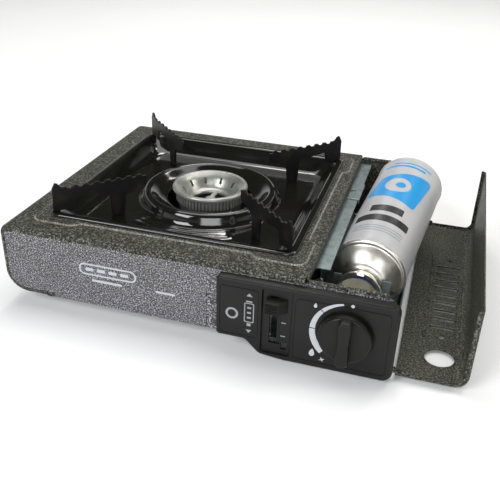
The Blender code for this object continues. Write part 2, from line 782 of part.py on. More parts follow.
def mixing_tube(paints, stove):
    """From the gas nozzle to the cup's neck, with its flared mouth at the nozzle."""
    start = nozzle_tip() - 0.0035
    aim = Vector((PAN_CENTRE_X, PAN_CENTRE_Y, TUBE_HEIGHT))
    mouth = Vector((start, regulator_y(), VALVE_Z))
    bend = Vector((start - 0.022, regulator_y() + 0.013, VALVE_Z - 0.001))
    away = (bend - aim).normalized()
    end = aim + away * (CUP_NECK_RADIUS + TUBE_RADIUS * 0.12 + 0.0015)
    middle = (bend + end) / 2 + Vector((0.0, 0.004, 0.0))
    tube("mixing_tube", [mouth, bend, middle, end], TUBE_RADIUS, paints["galvanised"], stove)


def igniter(paints, stove):
    """Piezo unit beside the valve, its lead, and the electrode at the burner."""
    x = BAY_LEFT + 0.005
    z = TOP - 0.020
    back = FRONT_INSIDE + 0.030
    body = turned([(0.0052, FRONT_INSIDE + GAP), (0.0052, back - 0.004), (0.0030, back - 0.003), (0.0030, back)],
                  "Y", (x, 0.0, z), 20, ring=False)
    add("piezo_igniter", body, paints["black_plastic"], stove, 40)

    centre = Vector((PAN_CENTRE_X, PAN_CENTRE_Y, 0.0))
    reach = BURNER_RADIUS + 0.0008
    angle = math.radians(-38)
    spot = centre + Vector((math.cos(angle), math.sin(angle), 0.0)) * reach
    _, ring_top, ring_foot, _ = burner_levels()
    foot = PAN_FLOOR - 0.014
    ceramic = [(0.0021, foot), (0.0021, ring_foot - 0.002), (0.0012, ring_foot - 0.0010)]
    sleeve = turned(ceramic, "Z", spot, 16, ring=False)
    made = add("electrode_insulator", sleeve, paints["ceramic"], stove, 40)
    bore = prism(circle(0.0010, 12, spot[:2]), "Z", foot - 0.001, ring_foot + 0.001)
    cut(made, bore, "insulator_bore")
    rod = prism(circle(0.0007, 10, spot[:2]), "Z", foot + 0.002, ring_top - 0.004)
    add("electrode_rod", rod, paints["steel"], stove)

    under = foot - 0.0035
    route = [
        (x, back + 0.0013, z),
        (x - 0.001, back + 0.006, z - 0.0005),
        (x - 0.006, back + 0.013, z - 0.006),
        (x - 0.018, back + 0.022, z - 0.018),
        (x - 0.040, back + 0.034, under + 0.001),
        (0.030, -0.045, under),
        (spot.x + 0.012, spot.y - 0.008, under - 0.001),
        (spot.x + 0.003, spot.y - 0.002, under + 0.0005),
        (spot.x, spot.y, foot - 0.0016),
    ]
    tube("ignition_lead", route, 0.0012, paints["lead_white"], stove)


# ---------------------------------------------------------------- controls
def lever_slot(low, high):
    """The slot that the lock lever's stem slides in."""
    half = LEVER_STEM / 2 + 0.0017
    top = LEVER_Z + LEVER_STEM / 2 + 0.0040
    bottom = LEVER_Z - LEVER_TRAVEL - LEVER_STEM / 2 - 0.0010
    x = lever_stem_x()
    outline = [(x - half, bottom), (x + half, bottom), (x + half, top), (x - half, top)]
    return prism(outline, "Y", low, high)


def lever_recess():
    """The sunk field of the control panel round the lever."""
    side = LEVER_WIDTH / 2 + 0.0032
    top = LEVER_Z + LEVER_HEIGHT / 2 + 0.0065
    bottom = LEVER_Z - LEVER_TRAVEL - LEVER_HEIGHT / 2 - 0.0065
    left, right = LEVER_X - side, LEVER_X + side
    corners = [(left, bottom), (right, bottom), (right, top), (left, top)]
    return prism(rounded(corners, [0.003] * 4), "Y", PANEL_FACE - SHEET, PANEL_FACE + LEVER_RECESS)


def lever_stem_x():
    return LEVER_X - (LEVER_WIDTH - LEVER_STEM) / 2 + 0.0008


def control_outline():
    """Panel outline: rounded right corners, and a bottom edge that steps up round a foot."""
    step = PANEL_LEFT + 0.024
    points = [
        (PANEL_LEFT, PANEL_TOP),
        (PANEL_LEFT, PANEL_STEP_HEIGHT),
        (step, PANEL_STEP_HEIGHT),
        (step + 0.012, PANEL_BOTTOM + 0.002),
        (step + 0.032, PANEL_BOTTOM),
        (PANEL_RIGHT, PANEL_BOTTOM),
        (PANEL_RIGHT, PANEL_TOP),
    ]
    return rounded(points, [0.003, 0.003, 0.006, 0.006, 0.006, PANEL_CORNER_RADIUS, PANEL_CORNER_RADIUS])


def control_panel(paints, stove):
    bm = prism(control_outline(), "Y", PANEL_FACE, PANEL_BACK)
    front = [f for f in bm.faces if all(abs(v.co.y - PANEL_FACE) < 1e-6 for v in f.verts)]
    bmesh.ops.recalc_face_normals(bm, faces=bm.faces)
    rim = [edge for edge in front[0].edges]
    bmesh.ops.bevel(bm, geom=rim, offset=PANEL_CHAMFER, segments=2, profile=0.6, affect="EDGES",
                    clamp_overlap=True)
    made = add("control_panel", bm, paints["panel_plastic"], stove, 35)
    wall = PANEL_WALL + PANEL_CHAMFER / 2
    inner = PANEL_FACE + PANEL_WALL + LEVER_RECESS
    x0, x1 = PANEL_LEFT + 0.040, PANEL_RIGHT - wall - 0.004
    z0, z1 = PANEL_BOTTOM + wall, PANEL_TOP - wall - 0.002
    low_left = [(PANEL_LEFT + wall, PANEL_STEP_HEIGHT + wall), (x0, PANEL_STEP_HEIGHT + wall)]
    pocket = [*low_left, (x0, z0), (x1, z0), (x1, z1), (PANEL_LEFT + wall, z1)]
    cut(made, prism(pocket, "Y", inner, PANEL_BACK + SHEET), "panel_pocket")
    cut(made, lever_recess(), "panel_lever_recess")
    cut(made, lever_slot(PANEL_FACE - SHEET, PANEL_BACK + SHEET), "panel_lever_slot")
    shaft = circle(SHAFT_RADIUS + 0.0010, 24, (VALVE_X, VALVE_Z))
    cut(made, prism(shaft, "Y", PANEL_FACE - SHEET, PANEL_BACK + SHEET), "panel_shaft_hole")


def lock_lever(paints, lever):
    """Thumb piece with slanted right side, its stem through both panels, and the slider's pin."""
    face = PANEL_FACE - 0.0055
    back = PANEL_FACE + LEVER_RECESS - 2 * GAP
    half = LEVER_HEIGHT / 2
    left, right = LEVER_X - LEVER_WIDTH / 2, LEVER_X + LEVER_WIDTH / 2
    slant = 0.0070
    made = add(
        "lock_lever",
        skin([
            [(left, back, LEVER_Z - half), (right, back, LEVER_Z - half), (right, back, LEVER_Z + half),
             (left, back, LEVER_Z + half)],
            [(left, face, LEVER_Z - half), (right - slant, face, LEVER_Z - half),
             (right - slant, face, LEVER_Z + half - 0.0025), (left, face, LEVER_Z + half - 0.0025)],
        ]),
        paints["black_plastic"],
        lever,
    )
    x = lever_stem_x()
    stem = block(x - LEVER_STEM / 2, x + LEVER_STEM / 2, back - 0.002, pin_y() + 0.004,
                 LEVER_Z - LEVER_STEM / 2, LEVER_Z + LEVER_STEM / 2)
    join(made, stem, "lever_stem")
    hole = prism(circle(PIN_RADIUS + GAP, 20, (pin_y(), LEVER_Z)), "X", x - 0.001, x + LEVER_STEM)
    cut(made, hole, "lever_pin_hole")
    pin = prism(circle(PIN_RADIUS, 20, (pin_y(), LEVER_Z)), "X", x - 0.0005, cam_x() + SLIDER_SHEET + 0.001)
    add("lever_pin", pin, paints["steel"], lever, 40)


def pin_y():
    return FRONT_INSIDE + 0.0105


def cam_x():
    return lever_stem_x() + LEVER_STEM / 2 + 0.0030


def cam_slider(paints, slider):
    """Cam plate with a slanted slot, an arm under the valve, and a fork behind the can's collar."""
    x0 = cam_x()
    half = 0.0085
    arm = TRAY_FLOOR + SHEET + 0.0020
    front = pin_y() + CAN_TRAVEL / 2 - half
    rear = pin_y() + CAN_TRAVEL / 2 + half
    plate = [(front, arm), (rear, arm), (rear, LEVER_Z + 0.007), (front, LEVER_Z + 0.007)]
    made = add("cam_slider", prism(plate, "X", x0, x0 + SLIDER_SHEET), paints["galvanised"], slider)

    width = PIN_RADIUS + PIN_CLEARANCE
    slope = CAN_TRAVEL / LEVER_TRAVEL
    slot = []
    upper = Vector((pin_y(), LEVER_Z))
    lower = Vector((pin_y() + CAN_TRAVEL, LEVER_Z - LEVER_TRAVEL))
    for middle, start in ((upper, 0.0), (lower, math.pi)):
        for k in range(9):
            angle = start + math.pi * k / 8 + math.atan(slope)
            slot.append((middle.x + width * math.cos(angle), middle.y + width * math.sin(angle)))
    cut(made, prism(slot, "X", x0 - SHEET, x0 + SLIDER_SHEET + SHEET), "cam_slot")

    fork = COLLAR_Y + 0.0015
    reach = VALVE_X + CAN_FLANGE_RADIUS + 0.005
    left = VALVE_X - CAN_FLANGE_RADIUS - 0.005
    join(made, block(x0 + SLIDER_SHEET / 3, reach - 0.004, front + 0.001, fork + SLIDER_SHEET / 2,
                     arm + 0.0001, arm + SLIDER_SHEET), "slider_arm")
    notch = CAN_NECK_RADIUS + 0.0035
    top = VALVE_Z + 0.008
    outline = [(left, arm + 0.0005), (reach, arm + 0.0005), (reach, top), (VALVE_X + notch, top)]
    for k in range(13):
        angle = -math.pi * k / 12
        outline.append((VALVE_X + notch * math.cos(angle), VALVE_Z + notch * math.sin(angle)))
    outline += [(VALVE_X - notch, top), (left, top)]
    join(made, prism(outline, "Y", fork, fork + SLIDER_SHEET), "slider_fork")


def slider_rail(paints, stove):
    """Nylon strip that the slider's arm rides on."""
    floor = TRAY_FLOOR + SHEET + GAP
    top = TRAY_FLOOR + SHEET + 0.0020 - GAP
    x = cam_x() + 0.004
    add("slider_rail", block(x, x + 0.006, pin_y() + 0.004, COLLAR_Y - 0.006, floor, top),
        paints["nylon"], stove)


def regulator_y():
    return FRONT_INSIDE + 0.0215


def nozzle_tip():
    return VALVE_X - 0.030


def regulator(paints, stove):
    """Valve body, diaphragm cover, gas nozzle and the inlet that the can's stem enters."""
    half = 0.018
    y0 = FRONT_INSIDE + GAP
    y1 = y0 + 0.034
    low, high = VALVE_Z - 0.017, VALVE_Z + 0.017
    outline = rounded(
        [(VALVE_X - half, low), (VALVE_X + half, low), (VALVE_X + half, high), (VALVE_X - half, high)],
        [0.004] * 4,
    )
    made = add("regulator_body", prism(outline, "Y", y0, y1), paints["zinc_cast"], stove, 40)
    mouth = COLLAR_Y - 0.0160
    boss = prism(circle(0.0110, 28, (VALVE_X, VALVE_Z)), "Y", y1 - 0.001, mouth)
    join(made, boss, "inlet_boss")
    socket = circle(0.0070, 24, (VALVE_X, VALVE_Z))
    cut(made, prism(socket, "Y", mouth - 0.005, mouth + 0.001), "inlet_socket")
    bore = prism(circle(SHAFT_RADIUS + GAP, 20, (VALVE_X, VALVE_Z)), "Y", y0 - 0.001, y0 + 0.012)
    cut(made, bore, "valve_bore")
    jet = circle(0.0026, 16, (regulator_y(), VALVE_Z))
    cut(made, prism(jet, "X", VALVE_X - half - 0.001, VALVE_X - half + 0.006), "nozzle_seat")

    cover = [(0.0150, high + GAP), (0.0150, high + 0.005), (0.0110, high + 0.0085), (0.0040, high + 0.0085)]
    add("diaphragm_cover", turned(cover, "Z", (VALVE_X, regulator_y(), 0.0), 28, ring=False),
        paints["zinc_cast"], stove, 40)

    seat = VALVE_X - half
    nozzle = [(0.0023, seat + 0.0055), (0.0023, seat - GAP), (0.0045, seat - GAP), (0.0045, seat - 0.006),
              (0.0018, nozzle_tip())]
    add("gas_nozzle", turned([(r, x) for r, x in nozzle], "X", (0.0, regulator_y(), VALVE_Z), 16, ring=False),
        paints["brass"], stove, 40)


def knob(paints, dial):
    """Control knob and the valve shaft that it turns, modelled about the valve's axis."""
    back = -0.0006
    face = back - KNOB_DISC_DEPTH
    profile = [(KNOB_RADIUS, back), (KNOB_RADIUS - 0.0004, face + 0.0015), (KNOB_RADIUS - 0.0018, face)]
    made = add("knob", turned(profile, "Y", (0.0, 0.0, 0.0), SEGMENTS, ring=False),
               paints["black_plastic"], dial, 40)
    half = KNOB_GRIP_WIDTH / 2
    long = KNOB_RADIUS - 0.0010
    waist = half - 0.0009
    corners = [(-half, -long), (half, -long), (waist, 0.0), (half, long), (-half, long), (-waist, 0.0)]
    grip = rounded(corners, [0.0022, 0.0022, 0.030, 0.0022, 0.0022, 0.030], steps=3)
    bar = skin([
        [(x, face + 0.001, z) for x, z in grip],
        [(x, face - KNOB_GRIP_DEPTH + 0.001, z) for x, z in grip],
        [(x * 0.85, face - KNOB_GRIP_DEPTH, z * 0.97) for x, z in grip],
    ])
    join(made, bar, "knob_grip")
    socket = prism(circle(SHAFT_RADIUS + GAP, 20), "Y", face - 0.001, back + 0.001)
    cut(made, socket, "knob_socket")
    shaft_end = FRONT_INSIDE + GAP + 0.011 - PANEL_FACE
    shaft = prism(circle(SHAFT_RADIUS, 20), "Y", face + 0.0005, shaft_end)
    add("valve_shaft", shaft, paints["steel"], dial, 40)


# ---------------------------------------------------------------- gas can
def gas_can(paints, can):
    """The can along its own +Y axis, from its stem to its base, about the neck's middle."""
    wall = CAN_SHEET
    seam = 0.0235
    end = seam + CAN_BODY_LENGTH
    body = [
        (CAN_RADIUS - 0.0006, seam),
        (CAN_RADIUS - 0.0001, seam + 0.0015),
        (CAN_RADIUS - 0.0006, seam + 0.0030),
        (CAN_RADIUS - 0.0006, end - 0.0030),
        (CAN_RADIUS - 0.0001, end - 0.0015),
        (CAN_RADIUS - 0.0006, end),
        (CAN_RADIUS - 0.0006 - wall, end),
        (CAN_RADIUS - 0.0006 - wall, seam),
    ]
    centre = (0.0, 0.0, 0.0)
    add("can_body", turned(body, "Y", centre), paints["can_print"], can, 40)

    base_outer = CAN_RADIUS - 0.0006 - wall - GAP
    base = [
        (base_outer, end - 0.0010),
        (base_outer - 0.0020, end),
        (base_outer - 0.0035, end - 0.0010),
        (0.0180, end - 0.0085),
        (0.0060, end - 0.0105),
        (0.0060, end - 0.0105 - wall),
        (0.0180, end - 0.0085 - wall),
        (base_outer - 0.0040, end - 0.0035),
        (base_outer, end - 0.0035),
    ]
    made = add("can_base", turned(base, "Y", centre), paints["tinplate"], can, 40)
    disc = prism(circle(0.0070, 24), "Y", end - 0.0105 - wall * 0.9, end - 0.0105 - wall * 0.1)
    join(made, disc, "base_middle")

    neck = CAN_NECK_RADIUS
    shoulder = seam - GAP
    outer = [
        (CAN_RADIUS - 0.0008, shoulder),
        (CAN_RADIUS, shoulder - 0.0010),
        (CAN_RADIUS - 0.0008, shoulder - 0.0025),
        (CAN_RADIUS - 0.0035, shoulder - 0.0035),
        (CAN_RADIUS - 0.0065, shoulder - 0.0075),
        (neck + 0.0075, shoulder - 0.0130),
        (neck + 0.0015, shoulder - CAN_DOME_LENGTH + 0.0012),
        (neck + 0.0015, shoulder - CAN_DOME_LENGTH),
    ]
    inner = [(r - 0.0010, y + 0.0008) for r, y in outer[4:-1][::-1]]
    dome = [*outer, (neck + 0.0005, outer[-1][1]), *inner, (CAN_RADIUS - 0.0045, shoulder)]
    add("can_dome", turned(dome, "Y", centre), paints["tinplate"], can, 40)

    flange = CAN_FLANGE_RADIUS
    front = -0.0055
    collar = [
        (neck, shoulder - CAN_DOME_LENGTH + 0.002),
        (neck, -0.0036),
        (flange, -0.0036),
        (flange, front),
        (neck - 0.001, front),
        (neck - 0.004, front + 0.004),
        (STEM_RADIUS + 0.0030, front + 0.004),
        (STEM_RADIUS + GAP, front + 0.003),
        (STEM_RADIUS + GAP, shoulder - CAN_DOME_LENGTH + 0.002),
    ]
    made = add("can_collar", turned(collar, "Y", centre), paints["tinplate"], can, 40)
    notch = block(-0.003, 0.003, front - 0.001, -0.0026, flange - 0.003, flange + 0.002)
    cut(made, notch, "collar_notch")

    stem = [(STEM_RADIUS, 0.0055), (STEM_RADIUS, front - 0.0080), (STEM_RADIUS - 0.0006, front - 0.0085)]
    add("can_valve", turned(stem, "Y", centre, 20, ring=False), paints["valve_blue"], can, 40)


# ---------------------------------------------------------------- bay lid
def lid(paints, stove, swing):
    """Bay cover about its hinge, in the closed pose: side, rounded edge and top, with vents."""
    path = rounded(
        [
            (RIGHT, LID_LOWER_EDGE),
            (RIGHT, TOP),
            (BAY_LEFT + GAP, TOP),
        ],
        [0, LID_CORNER_RADIUS, 0],
        closed=False,
        steps=6,
    )
    shell = swept(path, channel())
    hinge = Vector((HINGE_X, 0.0, HINGE_HEIGHT))
    bmesh.ops.translate(shell, vec=-hinge, verts=shell.verts)
    made = add("lid", shell, paints["hammertone"], swing, 30)
    for side, face, way in (("front", FRONT, 1), ("rear", REAR, -1)):
        low, high = sorted((face, face + way * SHEET))
        ear = [
            (RIGHT - FLANGE - 0.002, LID_LOWER_EDGE + 0.010),
            (RIGHT - FLANGE - 0.004, LID_LOWER_EDGE),
            (HINGE_X - 0.005, HINGE_HEIGHT + 0.002),
            (HINGE_X - 0.004, HINGE_HEIGHT - 0.004),
            (HINGE_X + 0.003, HINGE_HEIGHT - 0.005),
            (RIGHT - EDGE_RADIUS, LID_LOWER_EDGE + 0.0005),
            (RIGHT - EDGE_RADIUS, LID_LOWER_EDGE + 0.010),
        ]
        plate = prism(ear, "Y", low, high)
        bmesh.ops.translate(plate, vec=-hinge, verts=plate.verts)
        join(made, plate, f"lid_ear_{side}")
        hole = prism(circle(HINGE_PIN_RADIUS + GAP, 16), "Y", low - 0.001, high + 0.001)
        cut(made, hole, f"lid_pin_hole_{side}")
        pin_low, pin_high = sorted((face - way * 0.0001, face + way * 0.0060))
        pin = prism(circle(HINGE_PIN_RADIUS, 16, (HINGE_X, HINGE_HEIGHT)), "Y", pin_low, pin_high)
        add(f"hinge_pin_{side}", pin, paints["steel"], stove, 40)

    side_in = (RIGHT - 2 * SHEET - HINGE_X, RIGHT + SHEET - HINGE_X)
    middle = LID_LOWER_EDGE + 0.032 - HINGE_HEIGHT
    for i in range(LOUVRE_COUNT):
        y = LOUVRE_MIDDLE_Y + (i - (LOUVRE_COUNT - 1) / 2) * LOUVRE_PITCH
        across, along = LOUVRE_WIDTH / 2, LOUVRE_LENGTH / 2
        slot = [(y - across, middle - along), (y + across, middle - along),
                (y + across, middle + along), (y - across, middle + along)]
        cut(made, prism(slot, "X", *side_in), f"louvre_{i}")
    reach = (LOUVRE_COUNT + 1) / 2 * LOUVRE_PITCH
    for name, y in (("front", LOUVRE_MIDDLE_Y - reach), ("rear", LOUVRE_MIDDLE_Y + reach)):
        cut(made, prism(circle(0.0025, 12, (y, middle)), "X", *side_in), f"lid_dot_{name}")
    finger_y = LOUVRE_MIDDLE_Y - reach - 0.0305
    cut(made, prism(circle(FINGER_HOLE_RADIUS, 28, (finger_y, middle)), "X", *side_in), "finger_hole")


# ---------------------------------------------------------------- fasteners
def screws(paints, stove):
    """Pan-head screws under the tray that hold the burner bracket and the slider's rail."""
    spots = [
        ("bracket_left", PAN_CENTRE_X - CUP_RADIUS - 0.006, PAN_CENTRE_Y),
        ("bracket_right", PAN_CENTRE_X + CUP_RADIUS + 0.006, PAN_CENTRE_Y),
    ]
    for name, x, y in spots:
        top = TRAY_FLOOR - GAP
        profile = [(0.0030, top - 0.0022), (0.0035, top - 0.0012), (0.0035, top)]
        add(f"screw_{name}", turned(profile, "Z", (x, y, 0.0), 20, ring=False), paints["steel"], stove, 40)


# ---------------------------------------------------------------- assembly
def main():
    for old in list(bpy.data.objects):
        bpy.data.objects.remove(old, do_unlink=True)

    paints = {
        "hammertone": paint("hammertone", (0.115, 0.112, 0.110), 0.50),
        "galvanised": paint("galvanised", (0.36, 0.42, 0.42), 0.45, 0.9),
        "enamel": paint("enamel", (0.012, 0.012, 0.012), 0.12),
        "support_black": paint("support_black", (0.015, 0.014, 0.014), 0.45),
        "cast_aluminium": paint("cast_aluminium", (0.72, 0.71, 0.66), 0.45, 0.8),
        "cast_iron": paint("cast_iron", (0.10, 0.10, 0.10), 0.7, 0.5),
        "panel_plastic": paint("panel_plastic", (0.035, 0.037, 0.038), 0.55),
        "black_plastic": paint("black_plastic", (0.022, 0.022, 0.022), 0.5),
        "rubber": paint("rubber", (0.02, 0.02, 0.02), 0.8),
        "nylon": paint("nylon", (0.75, 0.73, 0.66), 0.5),
        "steel": paint("steel", (0.55, 0.55, 0.55), 0.35, 1.0),
        "zinc_cast": paint("zinc_cast", (0.52, 0.50, 0.42), 0.45, 0.9),
        "brass": paint("brass", (0.70, 0.52, 0.22), 0.35, 1.0),
        "ceramic": paint("ceramic", (0.82, 0.80, 0.75), 0.4),
        "lead_white": paint("lead_white", (0.75, 0.73, 0.70), 0.5),
        "can_print": paint("can_print", (0.70, 0.72, 0.73), 0.3),
        "tinplate": paint("tinplate", (0.66, 0.62, 0.52), 0.25, 1.0),
        "valve_blue": paint("valve_blue", (0.05, 0.10, 0.45), 0.4),
    }

    stove = empty("stove", None, -ORIGIN)
    pan = empty("pan_lift", stove, (0.0, 0.0, 0.0))
    lever = empty("lever_travel", stove, (0.0, 0.0, 0.0))
    slider = empty("slider_travel", stove, (0.0, 0.0, 0.0))
    dial = empty("knob_axis", stove, (VALVE_X, PANEL_FACE, VALVE_Z))
    swing = empty(
        "lid_hinge", stove, (HINGE_X, 0.0, HINGE_HEIGHT), Matrix.Rotation(math.radians(LID_OPEN_DEG), 3, "Y")
    )
    yaw = Matrix.Rotation(math.radians(-CAN_YAW_DEG), 3, "Z")
    tilt = yaw @ Matrix.Rotation(math.radians(CAN_PITCH_DEG), 3, "X")
    can = empty("can_pivot", slider, (VALVE_X, COLLAR_Y, VALVE_Z), tilt)

    for make in (top_cover, front_panel, rear_panel, base_tray, bay_partition, bay_bracket, feet, burner,
                 burner_bracket, mixing_tube, igniter, control_panel, slider_rail, regulator, screws):
        make(paints, stove)
    drip_pan(paints, pan)
    pan_legs(paints, pan)
    lock_lever(paints, lever)
    cam_slider(paints, slider)
    knob(paints, dial)
    gas_can(paints, can)
    lid(paints, stove, swing)


main()
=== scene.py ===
"""Looks of the portable cassette stove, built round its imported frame.

Metres, in the row's frame: +Z up, controls towards -Y, can bay and open lid towards +X.
"""

import json
import math

import bmesh
import bpy
from mathutils import Matrix, Vector


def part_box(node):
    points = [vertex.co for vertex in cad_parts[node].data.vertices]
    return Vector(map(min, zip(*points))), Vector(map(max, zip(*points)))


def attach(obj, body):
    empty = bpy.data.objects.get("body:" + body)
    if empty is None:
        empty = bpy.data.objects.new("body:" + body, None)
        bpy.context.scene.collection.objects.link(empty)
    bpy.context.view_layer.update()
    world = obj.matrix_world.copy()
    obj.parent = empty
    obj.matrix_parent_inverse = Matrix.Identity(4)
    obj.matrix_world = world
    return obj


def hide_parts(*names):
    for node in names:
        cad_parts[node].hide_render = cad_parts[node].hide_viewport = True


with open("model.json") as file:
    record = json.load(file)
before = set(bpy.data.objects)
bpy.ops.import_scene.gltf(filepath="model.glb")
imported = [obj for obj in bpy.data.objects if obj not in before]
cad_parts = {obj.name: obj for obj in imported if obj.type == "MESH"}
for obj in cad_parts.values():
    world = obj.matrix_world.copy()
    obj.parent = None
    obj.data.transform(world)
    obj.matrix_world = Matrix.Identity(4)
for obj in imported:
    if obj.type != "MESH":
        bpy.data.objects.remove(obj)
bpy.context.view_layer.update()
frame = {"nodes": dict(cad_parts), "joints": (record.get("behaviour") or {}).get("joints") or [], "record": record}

# ---------------------------------------------------------------- sizes of the sheet work
GAP = 0.0003
SHEET = 0.0010
FLANGE = 0.0045
EDGE_RADIUS = 0.0040
TOP_CORNER_RADIUS = 0.0080
BOTTOM_CORNER_RADIUS = 0.0200
BOTTOM_FLAP = 0.047
BAY_LIP = 0.0050
SEAT_RISE = 0.0010
SEAT_MARGIN = 0.0050
SEAT_CORNER_REACH = 0.0110
SEAT_CORNER_LENGTH = 0.0400
WELL_CLEARANCE = 0.0012
PAN_SHEET = 0.0009
PAN_RIM_WIDTH = 0.0060
PAN_CORNER_RADIUS = 0.010
PAN_HOLE_RADIUS = 0.041
LIP_RADIUS = 0.067
LIP_RISE = 0.0110
PAN_DEPTH = 0.0115
LEG_THICKNESS = 0.0020
BEAD_RADIUS = 0.0021
LEVER_RECESS = 0.0020
LOUVRE_COUNT = 9
LOUVRE_PITCH = 0.0134
LOUVRE_LENGTH = 0.0200
LOUVRE_WIDTH = 0.0040
FINGER_HOLE_RADIUS = 0.0120
LID_CORNER_RADIUS = 0.0110
LID_LOWER_EDGE = 0.0200
INK_RISE = 0.00012
INK_ROOT = 0.00010

# ---------------------------------------------------------------- places read from the frame
cover_low, cover_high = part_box("top_cover")
pan_low, pan_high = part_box("drip_pan")
control_low, control_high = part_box("control_panel")
shaft_low, shaft_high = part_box("valve_shaft")
knob_low, knob_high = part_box("knob")
lever_low, lever_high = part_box("lock_lever")
tray_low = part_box("base_tray")[0]
head_low, head_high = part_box("burner_head")
ring_low, ring_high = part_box("burner_port_ring")
joints = {joint["name"]: joint for joint in frame["joints"]}

LEFT, BAY_LEFT = cover_low.x, cover_high.x
FRONT, REAR = cover_low.y, cover_high.y
TOP = cover_high.z - SEAT_RISE
UNDERSIDE = cover_low.z
RIGHT = control_high.x
FRONT_FACE, REAR_FACE = FRONT + SHEET + GAP, REAR - SHEET - GAP
TRAY_FLOOR = UNDERSIDE + SHEET + GAP
TROUGH = tray_low.z
PAN_MIDDLE = (pan_low + pan_high) / 2
PAN_HALF = (pan_high.x - pan_low.x) / 2
RIM_TOP = pan_high.z
PAN_FLOOR = TOP - PAN_DEPTH
PANEL_FACE = control_low.y
VALVE = Vector(((shaft_low.x + shaft_high.x) / 2, PANEL_FACE, (shaft_low.z + shaft_high.z) / 2))
KNOB_RADIUS = (knob_high.x - knob_low.x) / 2
HINGE = Vector(joints["lid_hinge"]["pos_m"])
CAN_PIVOT = Vector(joints["can_seating"]["pos_m"])
LEVER_MIDDLE = (lever_low.z + lever_high.z) / 2
STOVE_MIDDLE = Vector(((LEFT + RIGHT) / 2, (FRONT + REAR) / 2, 0.0))


# ---------------------------------------------------------------- mesh tools
def skin(loops, ring=False):
    """A solid through loops of equal length: capped at both ends, or joined end to end."""
    bm = bmesh.new()
    rows = [[bm.verts.new(point) for point in loop] for loop in loops]
    count = len(rows[0])
    for first, second in zip(rows, rows[1:] + rows[:1] if ring else rows[1:]):
        for i in range(count):
            j = (i + 1) % count
            bm.faces.new((first[i], first[j], second[j], second[i]))
    if not ring:
        bm.faces.new(rows[0][::-1])
        bm.faces.new(rows[-1])
    return bm


def placed(axis, across, along, up):
    if axis == "X":
        return (up, across, along)
    if axis == "Y":
        return (across, up, along)
    return (across, along, up)


def prism(outline, axis, low, high):
    return skin([[placed(axis, a, b, level) for a, b in outline] for level in (low, high)])


def block(x0, x1, y0, y1, z0, z1):
    return prism([(x0, y0), (x1, y0), (x1, y1), (x0, y1)], "Z", z0, z1)


def circle(radius, count=64, centre=(0.0, 0.0), start=0.0):
    step = 2 * math.pi / count
    return [
        (centre[0] + radius * math.cos(start + i * step), centre[1] + radius * math.sin(start + i * step))
        for i in range(count)
    ]


def turned(profile, axis, centre, count=96, ring=True):
    """Radius and height pairs turned about an axis through the centre."""
    loops = []
    for radius, height in profile:
        loops.append(
            [Vector(placed(axis, a, b, height)) + Vector(centre) for a, b in circle(radius, count)]
        )
    return skin(loops, ring)


def rounded(points, radii, closed=True, steps=8):
    """A polyline with its corners rounded to the given radii."""
    count = len(points)
    made = []
    for i, (point, radius) in enumerate(zip(points, radii)):
        if radius == 0 or (not closed and i in (0, count - 1)):
            made.append(tuple(point))
            continue
        here = Vector(point)
        back = (Vector(points[i - 1]) - here).normalized()
        ahead = (Vector(points[(i + 1) % count]) - here).normalized()
        half = back.angle(ahead) / 2
        centre = here + (back + ahead).normalized() * radius / math.sin(half)
        start = here + back * radius / math.tan(half) - centre
        side = 1 if back.x * ahead.y - back.y * ahead.x < 0 else -1
        for k in range(steps + 1):
            spin = Matrix.Rotation(side * (math.pi - 2 * half) * k / steps, 2)
            made.append(tuple(centre + spin @ start))
    return made


def inward(path):
    """The mitred left-hand normal at each point of an open path."""
    made = []
    for i in range(len(path)):
        sides = []
        for a, b in ((i - 1, i), (i, i + 1)):
            if 0 <= a and b < len(path):
                run = (Vector(path[b]) - Vector(path[a])).normalized()
                sides.append(Vector((-run.y, run.x)))
        normal = sum(sides, Vector((0.0, 0.0))).normalized()
        made.append(normal / normal.dot(sides[0]))
    return made


def offset(path, distance):
    return [tuple(Vector(p) + n * distance) for p, n in zip(path, inward(path))]


def strip(path, thickness):
    """The outline of a bent strip, its thickness on the path's left."""
    return [*path, *offset(path, thickness)[::-1]]


def swept(path, section):
    """A section of (inward distance, y) pairs carried along a path in the XZ plane."""
    loops = []
    for (x, z), normal in zip(path, inward(path)):
        loops.append([(x + normal.x * d, y, z + normal.y * d) for d, y in section])
    return skin(loops)


def smooth_route(points, steps=4):
    """Points along a Catmull-Rom curve through the given ones."""
    ends = [Vector(p) for p in points]
    ends = [2 * ends[0] - ends[1], *ends, 2 * ends[-1] - ends[-2]]
    made = []
    for a, b, c, d in zip(ends, ends[1:], ends[2:], ends[3:]):
        for k in range(steps):
            t = k / steps
            made.append(
                0.5 * (2 * b + (c - a) * t + (2 * a - 5 * b + 4 * c - d) * t**2
                       + (3 * b - a - 3 * c + d) * t**3)
            )
    return [*made, ends[-2]]


def object_of(name, bm):
    bmesh.ops.recalc_face_normals(bm, faces=bm.faces)
    mesh = bpy.data.meshes.new(name)
    bm.to_mesh(mesh)
    bm.free()
    made = bpy.data.objects.new(name, mesh)
    bpy.context.scene.collection.objects.link(made)
    return made


def settle(target):
    """Applies the modifiers that the object has."""
    graph = bpy.context.evaluated_depsgraph_get()
    old = target.data
    target.data = bpy.data.meshes.new_from_object(target.evaluated_get(graph))
    target.modifiers.clear()
    bpy.data.meshes.remove(old)


def combine(target, tools, operation):
    for bm in tools:
        tool = object_of("tool", bm)
        change = target.modifiers.new("shape", "BOOLEAN")
        change.operation = operation
        change.solver = "EXACT"
        change.object = tool
        settle(target)
        bpy.data.objects.remove(tool, do_unlink=True)
    return target


def cut(target, *tools):
    return combine(target, tools, "DIFFERENCE")


def join(target, *tools):
    return combine(target, tools, "UNION")


